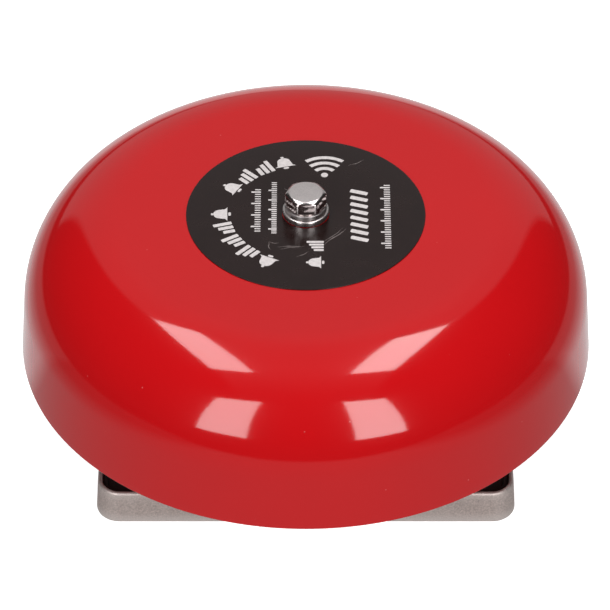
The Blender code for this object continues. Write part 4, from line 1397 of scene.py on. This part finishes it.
def build_lights():
    """Two softboxes overhead and two in front, where the gong mirrors them."""
    for name, x, y, length, radiance, roll in (
        ("overhead_left", -0.278, 0.08, 0.48, 7.2, 4),
        ("overhead_right", 0.248, 0.06, 0.46, 8.4, -3),
    ):
        place, below = (x, y, OVERHEAD_HEIGHT), (x, y, 0.0)
        softbox(name, place, below, OVERHEAD_WIDTH, length, radiance, math.radians(roll))
    for name, x, width, height, radiance in (
        ("front_left", -0.42, 0.31, 0.70, 7.0),
        ("front_right", 0.365, 0.29, 0.72, 7.6),
    ):
        softbox(name, (x, -FRONT_DISTANCE, FRONT_Z), (x, 0.0, FRONT_Z), width, height, radiance)


def build_fill():
    """A soft light from above and behind, for the crown. It isn't mirrored in the enamel."""
    softbox("back_fill", (0.0, 0.6, 1.0), (0.0, 0.0, 0.04), 0.6, 0.6, 2.6)
    bpy.data.objects["back_fill"].visible_glossy = False


def build_world():
    """A pale studio: white to the camera. The gong mirrors a backdrop behind and dark elsewhere."""
    world = bpy.data.worlds.new("studio")
    bpy.context.scene.world = world
    world.use_nodes = True
    world.node_tree.nodes.clear()
    n = Nodes(world.node_tree)
    direction = n.node("ShaderNodeTexCoord").outputs["Generated"]
    x, y, z = n.node("ShaderNodeSeparateXYZ", {0: direction}).outputs
    turn = n.math("DIVIDE", n.math("ARCTAN2", z, y), math.pi)
    level = n.ramp(n.math("MAXIMUM", turn, 0.0), BACKDROP_LEVELS)
    wide = n.math("SQRT", n.math("ADD", n.math("MULTIPLY", y, y), n.math("MULTIPLY", z, z)))
    spread = n.math("DIVIDE", n.math("ABSOLUTE", x), n.math("MAXIMUM", wide, 0.001))
    limit = n.math("MAXIMUM", n.math("SUBTRACT", 0.74, n.math("MULTIPLY", turn, 0.87)), 0.40)
    side = n.math("ADD", n.math("MULTIPLY", n.math("SUBTRACT", limit, spread), 14.0), 0.5, clamp=True)
    strength = n.math("MULTIPLY", n.math("MULTIPLY", level, side), BACKDROP)
    strength = n.math("MAXIMUM", strength, DARK_STUDIO)
    studio = n.node("ShaderNodeBackground", {"Strength": strength}).outputs[0]
    seen = n.node("ShaderNodeBackground", {"Color": (1.0, 1.0, 1.0)}).outputs[0]
    camera_ray = n.node("ShaderNodeLightPath").outputs["Is Camera Ray"]
    n.node("ShaderNodeOutputWorld", {"Surface": n.mix(camera_ray, studio, seen)})


def build_floor():
    """A pale table top. To the camera it is paper lit by the softboxes plus a painted glow near the bell,
    which fills in its shadow, and an even white glow far from it.
    """
    shape = bmesh.new()
    bmesh.ops.create_grid(shape, x_segments=1, y_segments=1, size=30.0)
    floor = finish_mesh("table_top", shape)
    floor.location.z = -0.1 * MM
    material = bpy.data.materials.new("pale_table")
    material.use_nodes = True
    material.node_tree.nodes.clear()
    n = Nodes(material.node_tree)
    place = n.node("ShaderNodeTexCoord").outputs["Object"]
    distance = n.node("ShaderNodeVectorMath", {0: place}, operation="LENGTH").outputs["Value"]
    inputs = {"Value": distance, "From Min": 0.11, "From Max": 0.24}
    far = n.node("ShaderNodeMapRange", inputs, interpolation_type="SMOOTHSTEP").outputs["Result"]
    paper = n.node("ShaderNodeBsdfDiffuse", {"Color": (0.92, 0.92, 0.92)}).outputs[0]
    # Painted light: an even glow on the paper near the bell, which fills in its shadow.
    glow = n.node("ShaderNodeEmission", {"Strength": NEAR_GLOW}).outputs[0]
    lit = n.node("ShaderNodeAddShader", {0: paper, 1: glow}).outputs[0]
    table = n.mix(far, lit, n.node("ShaderNodeEmission", {"Strength": 1.0}).outputs[0])
    sides = n.math("ABSOLUTE", n.axis(place, "X"))
    levels = []
    for metres, stops in ((n.axis(place, "Y"), FLOOR_DEPTHS), (sides, FLOOR_WIDTHS)):
        shifted = [(RAMP_SHIFT + position, level) for position, level in stops]
        levels.append(n.ramp(n.math("ADD", metres, RAMP_SHIFT), shifted))
    mirrored = n.node("ShaderNodeEmission", {"Strength": n.math("MULTIPLY", *levels)}).outputs[0]
    bounced = n.node("ShaderNodeEmission", {"Strength": FLOOR_BOUNCE}).outputs[0]
    rays = n.node("ShaderNodeLightPath").outputs
    unseen = n.mix(rays["Is Diffuse Ray"], mirrored, bounced)
    n.node("ShaderNodeOutputMaterial", {"Surface": n.mix(rays["Is Camera Ray"], unseen, table)})
    floor.data.materials.append(material)


build_camera()
build_gong()
LABEL_TOP = build_label()
build_print(LABEL_TOP)
build_scratches(LABEL_TOP)
build_bolt()
build_washers()
build_tray()
build_cover()
build_screws()
build_coil()
build_spring()
build_striker()
build_yoke()
build_terminal_block()
build_wiring()
build_earth_tag()
build_turned_details()
dress_cad_nodes()
build_lights()
build_fill()
build_world()
build_floor()
bpy.context.scene.view_settings.view_transform = "Standard"
